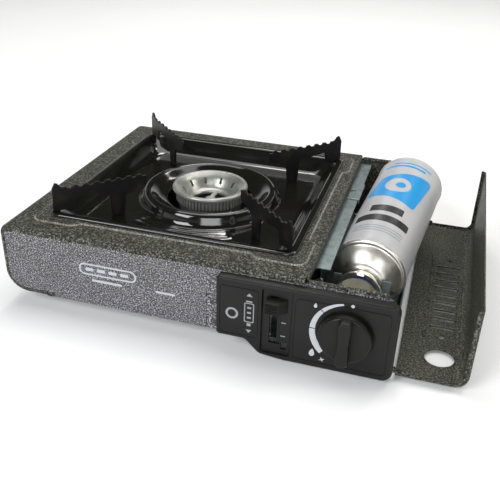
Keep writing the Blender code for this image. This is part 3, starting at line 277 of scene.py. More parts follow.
def soften(target, width, segments=2, angle=32):
    """Small rounds along every sharp edge."""
    weld = target.modifiers.new("weld", "WELD")
    weld.merge_threshold = 1e-5
    flat = target.modifiers.new("flat", "DECIMATE")
    flat.decimate_type = "DISSOLVE"
    flat.angle_limit = math.radians(0.5)
    bevel = target.modifiers.new("rounds", "BEVEL")
    bevel.width = width
    bevel.segments = segments
    bevel.limit_method = "ANGLE"
    bevel.angle_limit = math.radians(angle)
    bevel.use_clamp_overlap = True
    settle(target)
    return target


def finish(target, material, body, slot, *nodes, smooth=35):
    """Gives a piece its material and its body, and hides the nodes that it stands for."""
    target.data.materials.clear()
    target.data.materials.append(material)
    if smooth:
        target.data.shade_smooth()
        target.data.set_sharp_from_angle(angle=math.radians(smooth))
        level = target.modifiers.new("level", "WEIGHTED_NORMAL")
        level.keep_sharp = True
        level.weight = 100
    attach(target, body)
    if nodes:
        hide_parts(*nodes)
    return target


# ---------------------------------------------------------------- materials
def start_material(name, colour, roughness, metallic=0.0):
    made = bpy.data.materials.new(name)
    made.use_nodes = True
    shader = made.node_tree.nodes["Principled BSDF"]
    shader.inputs["Base Color"].default_value = (*colour, 1.0)
    shader.inputs["Roughness"].default_value = roughness
    shader.inputs["Metallic"].default_value = metallic
    return made, shader


class Paint:
    """Short names for building one material's nodes."""

    def __init__(self, name, colour, roughness, metallic=0.0, specular=0.5):
        self.material, self.shader = start_material(name, colour, roughness, metallic)
        self.shader.inputs["Specular IOR Level"].default_value = specular
        self.nodes, self.links = self.material.node_tree.nodes, self.material.node_tree.links
        self.place = self.nodes.new("ShaderNodeTexCoord").outputs["Object"]

    def stretch(self, scale):
        node = self.nodes.new("ShaderNodeMapping")
        node.inputs["Scale"].default_value = scale
        self.links.new(self.place, node.inputs["Vector"])
        return node.outputs["Vector"]

    def noise(self, scale, detail=2.0, roughness=0.5, place=None):
        node = self.nodes.new("ShaderNodeTexNoise")
        node.inputs["Scale"].default_value = scale
        node.inputs["Detail"].default_value = detail
        node.inputs["Roughness"].default_value = roughness
        self.links.new(place or self.place, node.inputs["Vector"])
        return node.outputs["Fac"]

    def cells(self, scale, output="Distance", place=None):
        node = self.nodes.new("ShaderNodeTexVoronoi")
        node.inputs["Scale"].default_value = scale
        self.links.new(place or self.place, node.inputs["Vector"])
        return node.outputs[output]

    def ramp(self, value, *stops):
        node = self.nodes.new("ShaderNodeValToRGB")
        band = node.color_ramp
        while len(band.elements) < len(stops):
            band.elements.new(1.0)
        for element, (place, colour) in zip(band.elements, stops):
            element.position = place
            element.color = (*colour, 1.0)
        self.links.new(value, node.inputs["Fac"])
        return node.outputs["Color"]

    def spread(self, value, low, high, start=0.3, end=0.7):
        node = self.nodes.new("ShaderNodeMapRange")
        for name, number in (("From Min", start), ("From Max", end), ("To Min", low), ("To Max", high)):
            node.inputs[name].default_value = number
        self.links.new(value, node.inputs["Value"])
        return node.outputs["Result"]

    def mix(self, share, first, second, blend="MIX"):
        node = self.nodes.new("ShaderNodeMix")
        node.data_type = "RGBA"
        node.blend_type = blend
        for socket, value in ((node.inputs[0], share), (node.inputs[6], first), (node.inputs[7], second)):
            if isinstance(value, (int, float)):
                socket.default_value = value
            elif isinstance(value, tuple):
                socket.default_value = (*value, 1.0)
            else:
                self.links.new(value, socket)
        return node.outputs[2]

    def set(self, socket, value):
        self.links.new(value, self.shader.inputs[socket])

    def bump(self, height, strength, distance):
        node = self.nodes.new("ShaderNodeBump")
        node.inputs["Strength"].default_value = strength
        node.inputs["Distance"].default_value = distance
        self.links.new(height, node.inputs["Height"])
        self.set("Normal", node.outputs["Normal"])


def speckled(name, scale, dark, middle, pale, roughness):
    """Hammered enamel: pale grains about a millimetre across on a dark ground."""
    paint = Paint(name, middle, roughness, specular=0.2)
    grain = paint.noise(scale, 2.0, 0.6)
    drift = paint.noise(45, 2.0)
    colour = paint.ramp(grain, (0.40, dark), (0.485, middle), (0.54, middle), (0.64, pale))
    paint.set("Base Color", paint.mix(paint.spread(drift, 0.0, 0.15), colour, dark))
    paint.set("Roughness", paint.spread(grain, roughness + 0.1, roughness - 0.12))
    paint.bump(grain, 0.45, 0.00035)
    return paint.material


def enamel():
    paint = Paint("gloss_enamel", (0.006, 0.006, 0.005), 0.10)
    sag = paint.noise(38, 1.0)
    fine = paint.noise(900, 2.0)
    paint.set("Base Color", paint.ramp(fine, (0.45, (0.004, 0.004, 0.003)), (0.80, (0.014, 0.014, 0.011))))
    paint.set("Roughness", paint.spread(sag, 0.07, 0.15))
    paint.bump(sag, 0.12, 0.0015)
    paint.shader.inputs["Specular IOR Level"].default_value = 0.62
    return paint.material


def support_enamel():
    paint = Paint("support_enamel", (0.006, 0.006, 0.006), 0.30, specular=0.25)
    burnt = paint.noise(70, 3.0)
    fine = paint.noise(1400, 2.0)
    paint.set("Base Color", paint.ramp(burnt, (0.50, (0.005, 0.005, 0.005)), (0.78, (0.022, 0.014, 0.009))))
    paint.set("Roughness", paint.spread(fine, 0.30, 0.46))
    paint.bump(fine, 0.3, 0.00012)
    return paint.material


def galvanised():
    """Zinc-plated sheet with faint spangle and rolling lines."""
    paint = Paint("galvanised_sheet", (0.24, 0.29, 0.29), 0.42, 0.75)
    flake = paint.cells(150)
    lines = paint.noise(60, 3.0, place=paint.stretch((25.0, 1.0, 25.0)))
    spangle = paint.ramp(flake, (0.0, (0.19, 0.235, 0.235)), (0.7, (0.30, 0.36, 0.36)))
    paint.set("Base Color", paint.mix(paint.spread(lines, 0.0, 0.4), spangle, (0.13, 0.165, 0.165)))
    paint.set("Roughness", paint.spread(lines, 0.30, 0.52))
    paint.bump(lines, 0.15, 0.0001)
    return paint.material


def blasted_metal(name, colour, dark, roughness, metallic, grain=900):
    paint = Paint(name, colour, roughness, metallic)
    fine = paint.noise(grain, 3.0)
    broad = paint.noise(110, 2.0)
    paint.set("Base Color", paint.mix(paint.spread(broad, 0.0, 0.55), colour, dark))
    paint.set("Roughness", paint.spread(fine, roughness - 0.08, roughness + 0.12))
    paint.bump(fine, 0.35, 0.00018)
    return paint.material


def moulded(name, colour, pale, roughness, grain=2600):
    """Moulded plastic with a fine spark-eroded grain and faint handling marks."""
    paint = Paint(name, colour, roughness, specular=0.25)
    fine = paint.cells(grain)
    wear = paint.noise(55, 3.0)
    paint.set("Base Color", paint.mix(paint.spread(wear, 0.0, 0.6), colour, pale))
    paint.set("Roughness", paint.spread(wear, roughness - 0.06, roughness + 0.08))
    paint.bump(fine, 0.35, 0.00006)
    return paint.material


def drawn_metal(name, colour, dark, roughness):
    """Bright drawn sheet with soft stains and fine drawing lines."""
    paint = Paint(name, colour, roughness, 1.0)
    stain = paint.noise(45, 3.0)
    lines = paint.noise(240, 2.0, place=paint.stretch((1.0, 9.0, 1.0)))
    paint.set("Base Color", paint.mix(paint.spread(stain, 0.0, 0.5), colour, dark))
    paint.set("Roughness", paint.spread(lines, roughness - 0.05, roughness + 0.09))
    paint.bump(lines, 0.05, 0.00008)
    return paint.material


def printed_tin():
    paint = Paint("printed_tinplate", (0.44, 0.44, 0.45), 0.38)
    cloud = paint.noise(26, 2.0)
    fine = paint.noise(1500, 2.0)
    paint.set("Base Color", paint.ramp(cloud, (0.35, (0.40, 0.40, 0.41)), (0.70, (0.48, 0.475, 0.47))))
    paint.set("Roughness", paint.spread(fine, 0.32, 0.44))
    paint.bump(fine, 0.1, 0.00005)
    return paint.material


def ink(name, colour, roughness=0.45):
    """Screen-printed ink, slightly uneven."""
    paint = Paint(name, colour, roughness)
    uneven = paint.noise(700, 2.0)
    darker = tuple(0.78 * c for c in colour)
    paint.set("Base Color", paint.mix(paint.spread(uneven, 0.0, 0.5), colour, darker))
    paint.set("Roughness", paint.spread(uneven, roughness - 0.05, roughness + 0.08))
    return paint.material


def make_paints():
    return {
        "hammertone": speckled("hammertone", 700, (0.008, 0.008, 0.006), (0.036, 0.037, 0.028),
                               (0.19, 0.19, 0.155), 0.52),
        # painted light: a lighter copy of the top's hammertone for the end panels, standing in for the light that
        # falls on the front and rear faces
        "lit_end_hammertone": speckled("hammertone_ends_painted_lit", 900, (0.022, 0.021, 0.023), (0.118, 0.116, 0.122),
                                   (0.45, 0.445, 0.47), 0.55),
        # painted highlight: a much paler copy of the hammertone, used to draw bright lines of light on the seat's
        # step and the louvre blades
        "highlight_hammertone": speckled("hammertone_painted_highlight", 900, (0.060, 0.060, 0.050), (0.17, 0.17, 0.145),
                                    (0.46, 0.46, 0.41), 0.45),
        "lid_inside": speckled("hammertone_inside", 700, (0.016, 0.016, 0.011), (0.058, 0.059, 0.045),
                               (0.16, 0.16, 0.13), 0.50),
        "enamel": enamel(),
        "support_black": support_enamel(),
        "galvanised": galvanised(),
        "cast_aluminium": blasted_metal("cast_aluminium", (0.40, 0.40, 0.37), (0.22, 0.235, 0.22),
                                        0.34, 0.75),
        "cast_iron": blasted_metal("cast_iron", (0.10, 0.10, 0.10), (0.05, 0.05, 0.05), 0.65, 0.5, 500),
        "zinc_cast": blasted_metal("zinc_casting", (0.15, 0.145, 0.10), (0.09, 0.09, 0.06), 0.45, 0.6),
        "panel_plastic": moulded("panel_plastic", (0.006, 0.0065, 0.0055), (0.011, 0.0115, 0.0105), 0.42),
        "black_plastic": moulded("black_plastic", (0.0045, 0.0045, 0.0035), (0.009, 0.009, 0.008), 0.40),
        "rubber": moulded("rubber", (0.018, 0.018, 0.018), (0.032, 0.032, 0.031), 0.75, 1500),
        "nylon": moulded("nylon", (0.72, 0.70, 0.62), (0.64, 0.62, 0.54), 0.5),
        "lead_white": moulded("lead_sleeve", (0.70, 0.68, 0.64), (0.55, 0.53, 0.50), 0.5),
        "ceramic": moulded("ceramic", (0.80, 0.78, 0.73), (0.68, 0.66, 0.60), 0.35, 1200),
        "valve_blue": moulded("valve_blue", (0.02, 0.05, 0.42), (0.04, 0.08, 0.50), 0.35),
        "steel": drawn_metal("plated_steel", (0.58, 0.58, 0.57), (0.42, 0.42, 0.41), 0.30),
        "brass": drawn_metal("turned_brass", (0.70, 0.52, 0.22), (0.52, 0.38, 0.15), 0.30),
        "tinplate": drawn_metal("drawn_tinplate", (0.80, 0.77, 0.70), (0.62, 0.59, 0.51), 0.34),
        "can_print": printed_tin(),
        "print_white": ink("print_white", (0.46, 0.48, 0.50)),
        "print_grey": ink("print_grey", (0.26, 0.28, 0.29)),
        "print_blue": ink("print_blue", (0.012, 0.30, 0.66), 0.32),
        "print_black": ink("print_black", (0.016, 0.016, 0.018), 0.35),
    }


# ---------------------------------------------------------------- body shell
def channel(steps=7):
    """Section of a sheet whose front and rear edges are rolled inwards."""
    outer, inner = [], []
    for k in range(steps + 1):
        angle = math.pi / 2 * k / steps
        outer.append((EDGE_RADIUS * (1 - math.sin(angle)), EDGE_RADIUS * (1 - math.cos(angle))))
        near = EDGE_RADIUS - SHEET
        inner.append((EDGE_RADIUS - near * math.sin(angle), EDGE_RADIUS - near * math.cos(angle)))
    front = [(FLANGE, FRONT)] + [(d, FRONT + y) for d, y in outer]
    front_inner = [(FLANGE, FRONT + SHEET)] + [(d, FRONT + y) for d, y in inner]
    rear = [(d, FRONT + REAR - y) for d, y in front]
    rear_inner = [(d, FRONT + REAR - y) for d, y in front_inner]
    return front + rear[::-1] + rear_inner + front_inner[::-1]


def cover_path():
    return rounded(
        [(BAY_LEFT - 2 * SHEET, TOP), (LEFT, TOP), (LEFT, UNDERSIDE), (LEFT + BOTTOM_FLAP, UNDERSIDE)],
        [0, TOP_CORNER_RADIUS, BOTTOM_CORNER_RADIUS, 0],
        closed=False,
        steps=10,
    )


def seat_outline(inset=0.0):
    """The pressed seat: a square whose corners step out round the pan supports."""
    near = PAN_HALF + SEAT_MARGIN - inset
    far = PAN_HALF + SEAT_CORNER_REACH - inset
    jog = PAN_HALF + SEAT_CORNER_REACH - SEAT_CORNER_LENGTH
    step = far - near
    quarter = [(near, jog - step), (far, jog), (far, far), (jog, far), (jog - step, near)]
    outline = []
    for turn in range(4):
        cos, sin = (1, 0, -1, 0)[turn], (0, 1, 0, -1)[turn]
        outline += [(x * cos - y * sin, x * sin + y * cos) for x, y in quarter]
    radii = [0.003, 0.003, 0.010, 0.003, 0.003] * 4
    return [(x + PAN_MIDDLE.x, y + PAN_MIDDLE.y) for x, y in rounded(outline, radii, steps=6)]


def cover_shell(paints):
    made = object_of("cover_shell", swept(cover_path(), channel()))
    steps = 5
    rings = [[(x, y, TOP - SHEET / 2) for x, y in seat_outline()]]
    for k in range(steps + 1):
        height = TOP + SEAT_RISE * (1 - math.cos(math.pi * k / steps)) / 2
        rings.append([(x, y, height + 1e-5) for x, y in seat_outline(0.0018 * k / steps)])
    join(made, skin(rings))
    half = PAN_HALF - PAN_RIM_WIDTH - WELL_CLEARANCE / 2
    well = rounded([(-half, -half), (half, -half), (half, half), (-half, half)], [PAN_CORNER_RADIUS] * 4)
    well = [(x + PAN_MIDDLE.x, y + PAN_MIDDLE.y) for x, y in well]
    cut(made, prism(well, "Z", TOP - 3 * SHEET, TOP + 3 * SHEET))
    fold = [(BAY_LEFT, TOP - BAY_LIP), (BAY_LEFT, TOP), (BAY_LEFT - 3 * SHEET, TOP)]
    fold = rounded(fold, [0, 2 * SHEET, 0], closed=False)
    ends = (FRONT_FACE + SHEET + 2 * GAP, REAR_FACE - SHEET - 2 * GAP)
    join(made, prism(strip(fold, SHEET), "Y", *ends))
    soften(made, 0.00025)
    finish(made, paints["hammertone"], "body", "hammertone", "top_cover")
    made.data.materials.append(paints["highlight_hammertone"])
    # painted highlight: the sloped faces of the seat's step take the paler copy, drawn as a bright line of light
    for face in made.data.polygons:
        if TOP + 0.00015 < face.center.z and face.normal.z < 0.97:
            face.material_index = 1


def panel_outline():
    """The end panels' edge, kept clear of the lid when it's closed."""
    inner = offset(cover_path(), EDGE_RADIUS)
    flap_end = LEFT + BOTTOM_FLAP + 2 * GAP
    right = RIGHT - SHEET - 2 * GAP
    in_lid = RIGHT - EDGE_RADIUS - GAP
    shoulder = LID_LOWER_EDGE - 2 * SHEET
    bottom = TROUGH + GAP
    step = BAY_LEFT - 0.006 - SHEET
    corner = rounded([(in_lid, shoulder), (in_lid, TOP - EDGE_RADIUS), (BAY_LEFT, TOP - EDGE_RADIUS)],
                     [0, LID_CORNER_RADIUS - EDGE_RADIUS, 0], closed=False)
    return [*corner[:-1], *inner, (flap_end, inner[-1][1]), (flap_end, TRAY_FLOOR),
            (step, TRAY_FLOOR), (step + 0.004, bottom), (right, bottom), (right, shoulder)]


def field_outline(inset, top_gap):
    """The part of a panel that stands flush with the cover's flanges."""
    inner = offset(cover_path(), FLANGE + 2 * GAP + inset)
    across = BAY_LEFT - 0.010 - inset
    low = TRAY_FLOOR + GAP + inset
    left = LEFT + BOTTOM_FLAP + 2 * GAP + inset
    top = TOP - FLANGE - top_gap
    sides = [point for point in inner[1:-1] if point[1] < top - 1e-4]
    return [(across, top), (sides[0][0], top), *sides, (left, inner[-1][1]), (left, low), (across, low)]


def end_shell(name, face, flush, way):
    """An end panel: sheet behind the flanges, pressed field flush with them, rolled bead over the bay."""
    low, high = sorted((face, face + way * SHEET))
    made = object_of(name, prism(panel_outline(), "Y", low, high))
    join(made, prism(field_outline(0.0, 2e-5), "Y", *sorted((flush, face + way * SHEET / 2))))
    hollow = sorted((flush + way * SHEET, face + way * 2 * SHEET))
    cut(made, prism(field_outline(2 * SHEET, 2 * SHEET), "Y", *hollow))
    ends = (BAY_LEFT + 2 * GAP, RIGHT - LID_CORNER_RADIUS)
    join(made, block(ends[0], ends[1], low, high, TOP - 2 * EDGE_RADIUS, TOP - 0.0040))
    bead = (flush + way * 0.0036, TOP - 0.0037)
    join(made, prism(circle(BEAD_RADIUS, 20, bead), "X", ends[0] + 0.0002, ends[1] - 0.0002))
    pin = circle(0.0023, 24, (HINGE.x, HINGE.z))
    cut(made, prism(pin, "Y", *sorted((face - way * 0.004, face + way * 0.004))))
    return made


def paint_inside(made, face, way, *materials):
    """Rolled lip and inner side take the cover's and the lid's coats, darker than the painted-lit copy on the
    ends.
    """
    for material in materials:
        made.data.materials.append(material)
    for polygon in made.data.polygons:
        if polygon.center.z > TOP - 0.0064:
            polygon.material_index = 1
        elif polygon.normal.y * way > 0.5 and (polygon.center.y - face) * way > SHEET / 2:
            polygon.material_index = 2


def front_shell(paints):
    made = end_shell("front_shell", FRONT_FACE, FRONT, 1)
    beside = control_low.x - 0.011
    recess = rounded(
        [(beside, UNDERSIDE), (RIGHT, UNDERSIDE), (RIGHT, control_high.z - 0.003),
         (beside, control_high.z - 0.003)],
        [0, 0, 0, 0.006],
    )
    cut(made, prism(recess, "Y", FRONT - SHEET, FRONT + SHEET * 0.6))
    low, high = FRONT - SHEET, FRONT_FACE + 2 * SHEET
    slot_x = (lever_low.x + 0.0022, lever_low.x + 0.0116)
    cut(made, block(*slot_x, low, high, LEVER_MIDDLE - 0.037, LEVER_MIDDLE + 0.007))
    cut(made, prism(circle(0.006, 32, (VALVE.x, VALVE.z)), "Y", low, high))
    soften(made, 0.00035)
    # painted light: the front panel takes the lighter copy of the hammertone, as if lit from the front
    finish(made, paints["lit_end_hammertone"], "body", "hammertone", "front_panel")
    paint_inside(made, FRONT_FACE, 1, paints["hammertone"], paints["lid_inside"])


def rear_shell(paints):
    made = end_shell("rear_shell", REAR_FACE, REAR, -1)
    soften(made, 0.00035)
    # painted light: the rear panel takes the same lighter copy of the hammertone
    finish(made, paints["lit_end_hammertone"], "body", "hammertone", "rear_panel")
    paint_inside(made, REAR_FACE, -1, paints["hammertone"], paints["lid_inside"])


# ---------------------------------------------------------------- lid
def opened(bm):
    """Turns a shape made in the lid's closed place to its open one."""
    turn = Matrix.Rotation(math.radians(90), 4, "Y")
    turn = Matrix.Translation(HINGE) @ turn @ Matrix.Translation(-HINGE)
    bmesh.ops.transform(bm, matrix=turn, verts=bm.verts)
    return bm


def lid_shell(paints):
    lower = LID_LOWER_EDGE
    path = rounded([(RIGHT, lower), (RIGHT, TOP), (BAY_LEFT + GAP, TOP)], [0, LID_CORNER_RADIUS, 0],
                   closed=False, steps=12)
    made = object_of("lid_shell", opened(swept(path, channel())))
    for side, face, way in (("front", FRONT, 1), ("rear", REAR, -1)):
        low, high = sorted((face, face + way * SHEET))
        ear = rounded(
            [
                (RIGHT - FLANGE - 0.002, lower + 0.010),
                (RIGHT - FLANGE - 0.004, lower),
                (HINGE.x - 0.005, HINGE.z + 0.002),
                (HINGE.x - 0.004, HINGE.z - 0.004),
                (HINGE.x + 0.003, HINGE.z - 0.005),
                (RIGHT - EDGE_RADIUS, lower + 0.0005),
                (RIGHT - EDGE_RADIUS, lower + 0.010),
            ],
            [0, 0, 0.0025, 0.003, 0.003, 0, 0],
        )
        join(made, opened(prism(ear, "Y", low, high)))
        cut(made, opened(prism(circle(0.0023, 24, (HINGE.x, HINGE.z)), "Y", low - 0.001, high + 0.001)))

    middle = lower + 0.032
    through = (RIGHT - 3 * SHEET, RIGHT + 2 * SHEET)
    louvre_y = STOVE_MIDDLE.y - 0.0065
    half, long = LOUVRE_WIDTH / 2, LOUVRE_LENGTH / 2
    for i in range(LOUVRE_COUNT):
        y = louvre_y + (i - (LOUVRE_COUNT - 1) / 2) * LOUVRE_PITCH
        slot = rounded([(y - half, middle - long), (y + half, middle - long),
                        (y + half, middle + long), (y - half, middle + long)], [0.0012] * 4, steps=3)
        cut(made, opened(prism(slot, "X", *through)))
    reach = (LOUVRE_COUNT + 1) / 2 * LOUVRE_PITCH
    for y in (louvre_y - reach, louvre_y + reach):
        cut(made, opened(prism(circle(0.0030, 24, (y, middle)), "X", *through)))
    finger = (louvre_y - reach - 0.0305, middle)
    cut(made, opened(prism(circle(FINGER_HOLE_RADIUS, 64, finger), "X", *through)))
    soften(made, 0.00025)

    extras = []
    for i in range(LOUVRE_COUNT):
        y = louvre_y + (i - (LOUVRE_COUNT - 1) / 2) * LOUVRE_PITCH
        inside = RIGHT - SHEET
        blade = [(inside + 0.0006, y + half + 0.0008), (inside - 0.0008, y + half - 0.0002),
                 (inside - 0.0016, y + 0.0004)]
        blade = strip(blade, 0.0006)
        extras.append(prism(blade, "Z", middle - long - 0.0008, middle + long + 0.0008))
    blades = len(extras)
    for z in (middle - 0.0145, middle + 0.0140):
        foot = RIGHT - SHEET + 0.0002
        bead = [(-0.0010 * math.sin(math.pi * k / 6), -0.0016 * math.cos(math.pi * k / 6)) for k in range(7)]
        ends = ((-reach - 0.006, 0.2), (-reach, 1.0), (reach, 1.0), (reach + 0.006, 0.2))
        extras.append(skin([[(foot + x * scale, louvre_y + y, z + up * scale) for x, up in bead]
                            for y, scale in ends]))
    first_blade = len(made.data.polygons)
    for number, bm in enumerate(extras):
        join_plain(made, object_of(f"lid_pressing_{number}", opened(bm)))
        if number < blades:
            last_blade = len(made.data.polygons)

    rim_in, rim_out = FINGER_HOLE_RADIUS, FINGER_HOLE_RADIUS + 0.0012
    ring = [(rim_in - 0.0002, RIGHT - SHEET + 0.0003), (rim_in, RIGHT - SHEET - 0.0006),
            (rim_in + 0.0008, RIGHT - SHEET - 0.0008), (rim_out + 0.0004, RIGHT - SHEET + 0.0001)]
    hem = turned(ring, "X", (0.0, finger[0], finger[1]), 64)
    join_plain(made, object_of("finger_hem", opened(hem)))

    finish(made, paints["hammertone"], "lid", "hammertone", "lid")
    made.data.materials.append(paints["lid_inside"])
    made.data.materials.append(paints["highlight_hammertone"])
    level = HINGE.z - (RIGHT - HINGE.x) + SHEET * 0.6
    wall = HINGE.x + TOP - HINGE.z - SHEET * 0.6
    for face in made.data.polygons:
        spot = face.center
        up = face.normal.z > 0.5 and spot.z > level
        back = face.normal.x < -0.5 and spot.x < wall
        arc = spot.x < wall and spot.z > level and (face.normal.z > 0.2 or face.normal.x < -0.2)
        if (up or back or arc) and FRONT + 0.002 < spot.y < REAR - 0.002:
            face.material_index = 1
        # painted highlight: the louvre blades take the paler copy, standing in for the bright lines of light along
        # the slots
        if first_blade <= face.index < last_blade:
            face.material_index = 2


def join_plain(target, extra):
    """Puts one object's mesh into another without touching its shape."""
    bm = bmesh.new()
    bm.from_mesh(target.data)
    bm.from_mesh(extra.data)
    bm.to_mesh(target.data)
    bm.free()
    bpy.data.objects.remove(extra, do_unlink=True)


# ---------------------------------------------------------------- drip pan and supports
def square_loop(half, corner, z):
    """A rounded square through rays that crowd towards its corners."""
    near = [0.8 * k for k in range(-6, 7)]
    far = [sign * (6.0 + 2.0 * k) for sign in (-1, 1) for k in range(20) if 6.0 + 2.0 * k < 45 - 0.5]
    loop = []
    for quarter in range(4):
        for away in sorted([*near, *far, 45.0], reverse=True):
            angle = math.radians(90 * quarter + 45 - away)
            ray = Vector((math.cos(angle), math.sin(angle)))
            side = Vector((abs(ray.x), abs(ray.y)))
            reach = half / max(side)
            if min(side) * reach > half - corner:
                centre = Vector((half - corner, half - corner))
                along = side.dot(centre)
                reach = along + math.sqrt(max(0.0, along**2 - centre.length_squared + corner**2))
            loop.append(pan_point(ray * reach, z))
    return loop


def pan_point(spot, z):
    """Adds the three shallow steps pressed into the dish in front of the burner."""
    radius = spot.length
    angle = math.degrees(math.atan2(spot.x, -spot.y))
    inner, pitch = LIP_RADIUS + 0.0015, 0.0062
    share = (radius - inner) / pitch
    if 0 < share < 3 and abs(angle) < 34 and z < TOP:
        fade = min(1.0, (34 - abs(angle)) / 5)
        z += 0.0016 * fade * math.sin(math.pi * (share % 1.0)) ** 2
    return (PAN_MIDDLE.x + spot.x, PAN_MIDDLE.y + spot.y, z)


def pan_profile():
    """Half width, corner radius and height, from the rim's edge to the burner's hole."""
    rim_inner = PAN_HALF - PAN_RIM_WIDTH
    lip_top = PAN_FLOOR + LIP_RISE
    corner = PAN_CORNER_RADIUS
    wall = rim_inner - WELL_CLEARANCE - PAN_SHEET
    outer = [
        (PAN_HALF, corner, TOP + SEAT_RISE + GAP),
        (PAN_HALF, corner, RIM_TOP - 0.0012),
        (PAN_HALF - 0.0005, corner, RIM_TOP - 0.0003),
        (PAN_HALF - 0.0014, corner, RIM_TOP),
        (rim_inner + 0.0012, corner, RIM_TOP),
        (rim_inner + 0.0002, corner, RIM_TOP - 0.0004),
        (wall + 0.0002, corner, TOP + SEAT_RISE + 0.0006),
        (wall - 0.0050, corner + 0.001, TOP - 0.0055),
        (wall - 0.0082, corner + 0.003, PAN_FLOOR + 0.0020),
        (wall - 0.0110, corner + 0.005, PAN_FLOOR + 0.0004),
        (wall - 0.0140, corner + 0.006, PAN_FLOOR),
    ]
    made = [Vector(p) for p in outer]
    rings = 22
    start, end = wall - 0.0140, LIP_RADIUS + 0.0010
    for k in range(1, rings + 1):
        share = k / rings
        half = start + (end - start) * share
        blend = min(1.0, share * 1.35)
        corner = (1 - blend) * (PAN_CORNER_RADIUS + 0.006) + blend * half
        made.append(Vector((half, min(corner, half), PAN_FLOOR)))
    lip = [
        (LIP_RADIUS - 0.0008, PAN_FLOOR + 0.0022),
        (LIP_RADIUS - 0.0035, lip_top - 0.0024),
        (LIP_RADIUS - 0.0058, lip_top - 0.0004),
        (LIP_RADIUS - 0.0080, lip_top),
        (LIP_RADIUS - 0.0100, lip_top - 0.0006),
        (LIP_RADIUS - 0.0130, lip_top - 0.0030),
        (LIP_RADIUS - 0.0180, lip_top - 0.0070),
        (PAN_HOLE_RADIUS + 0.002, lip_top - 0.0098),
        (PAN_HOLE_RADIUS, lip_top - 0.0102),
    ]
    curve = smooth_route([(r, r, z) for r, z in lip], 3)
    return made + curve


def pan_shell(paints):
    upper = pan_profile()
    path = [(p.x, p.z) for p in upper]
    lower = offset(path, PAN_SHEET)
    lower[0] = (lower[0][0], TOP + SEAT_RISE + GAP)
    loops = [square_loop(p.x, min(p.y, p.x), p.z) for p in upper]
    for (half, z), p in zip(lower[::-1], upper[::-1]):
        loops.append(square_loop(half, min(p.y, half), z))
    made = object_of("pan_shell", skin(loops, ring=True))
    finish(made, paints["enamel"], "pan", "enamel", "drip_pan", smooth=60)


def leg_outline():
    """One pan support in its own plane: distance from the burner's axis, and height."""
    leg_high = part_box("pan_leg_rear_right")[1].z
    horn_rise = 0.0055
    top = leg_high - horn_rise
    outer, inner = 0.1500, 0.0640
    rim = RIM_TOP + GAP
    floor = PAN_FLOOR + GAP
    rim_diagonal = math.sqrt(2) * (PAN_HALF - PAN_RIM_WIDTH - 0.414 * PAN_CORNER_RADIUS / 1.414)
    horn = outer - 0.0030
    points = [(outer + 0.0005, rim), (outer, top), (horn, top + horn_rise),
              (horn - 0.0025, top + horn_rise - 0.001), (horn - 0.0055, top + 0.0008)]
    radii = [0.0008, 0.003, 0.0006, 0.001, 0.002]
    teeth = 8
    run = (horn - 0.0055 - inner) / teeth
    for i in range(teeth):
        start = horn - 0.0055 - i * run
        for along, rise in ((0.12, 0.0008), (0.42, 0.0008), (0.58, -0.0012), (0.86, -0.0012)):
            points.append((start - along * run, top + rise))
            radii.append(0.0005)
    points += [
        (inner, top - 0.0010),
        (inner, top - 0.0110),
        (inner + 0.0205, top - 0.0160),
        (inner + 0.0225, floor),
        (inner + 0.0345, floor),
        (inner + 0.0360, top - 0.0135),
        (rim_diagonal - 0.0130, top - 0.0100),
        (rim_diagonal - 0.0110, TOP + 0.0015),
        (rim_diagonal - 0.0030, rim),
    ]
    radii += [0.0010, 0.0030, 0.0030, 0.0010, 0.0010, 0.0030, 0.0025, 0.0012, 0.0010]
    return rounded(points, radii, steps=4)


def supports(paints):
    outline = leg_outline()
    for name, angle in (("rear_right", 45), ("rear_left", 135), ("front_left", 225), ("front_right", 315)):
        turn = Matrix.Rotation(math.radians(angle), 4, "Z")
        spun = Matrix.Translation((PAN_MIDDLE.x, PAN_MIDDLE.y, 0.0)) @ turn
        plate = prism(outline, "Y", -LEG_THICKNESS / 2, LEG_THICKNESS / 2)
        bmesh.ops.transform(plate, matrix=spun, verts=plate.verts)
        made = soften(object_of(f"support_{name}", plate), 0.00035, angle=50)
        finish(made, paints["support_black"], "pan", "support_black", f"pan_leg_{name}")


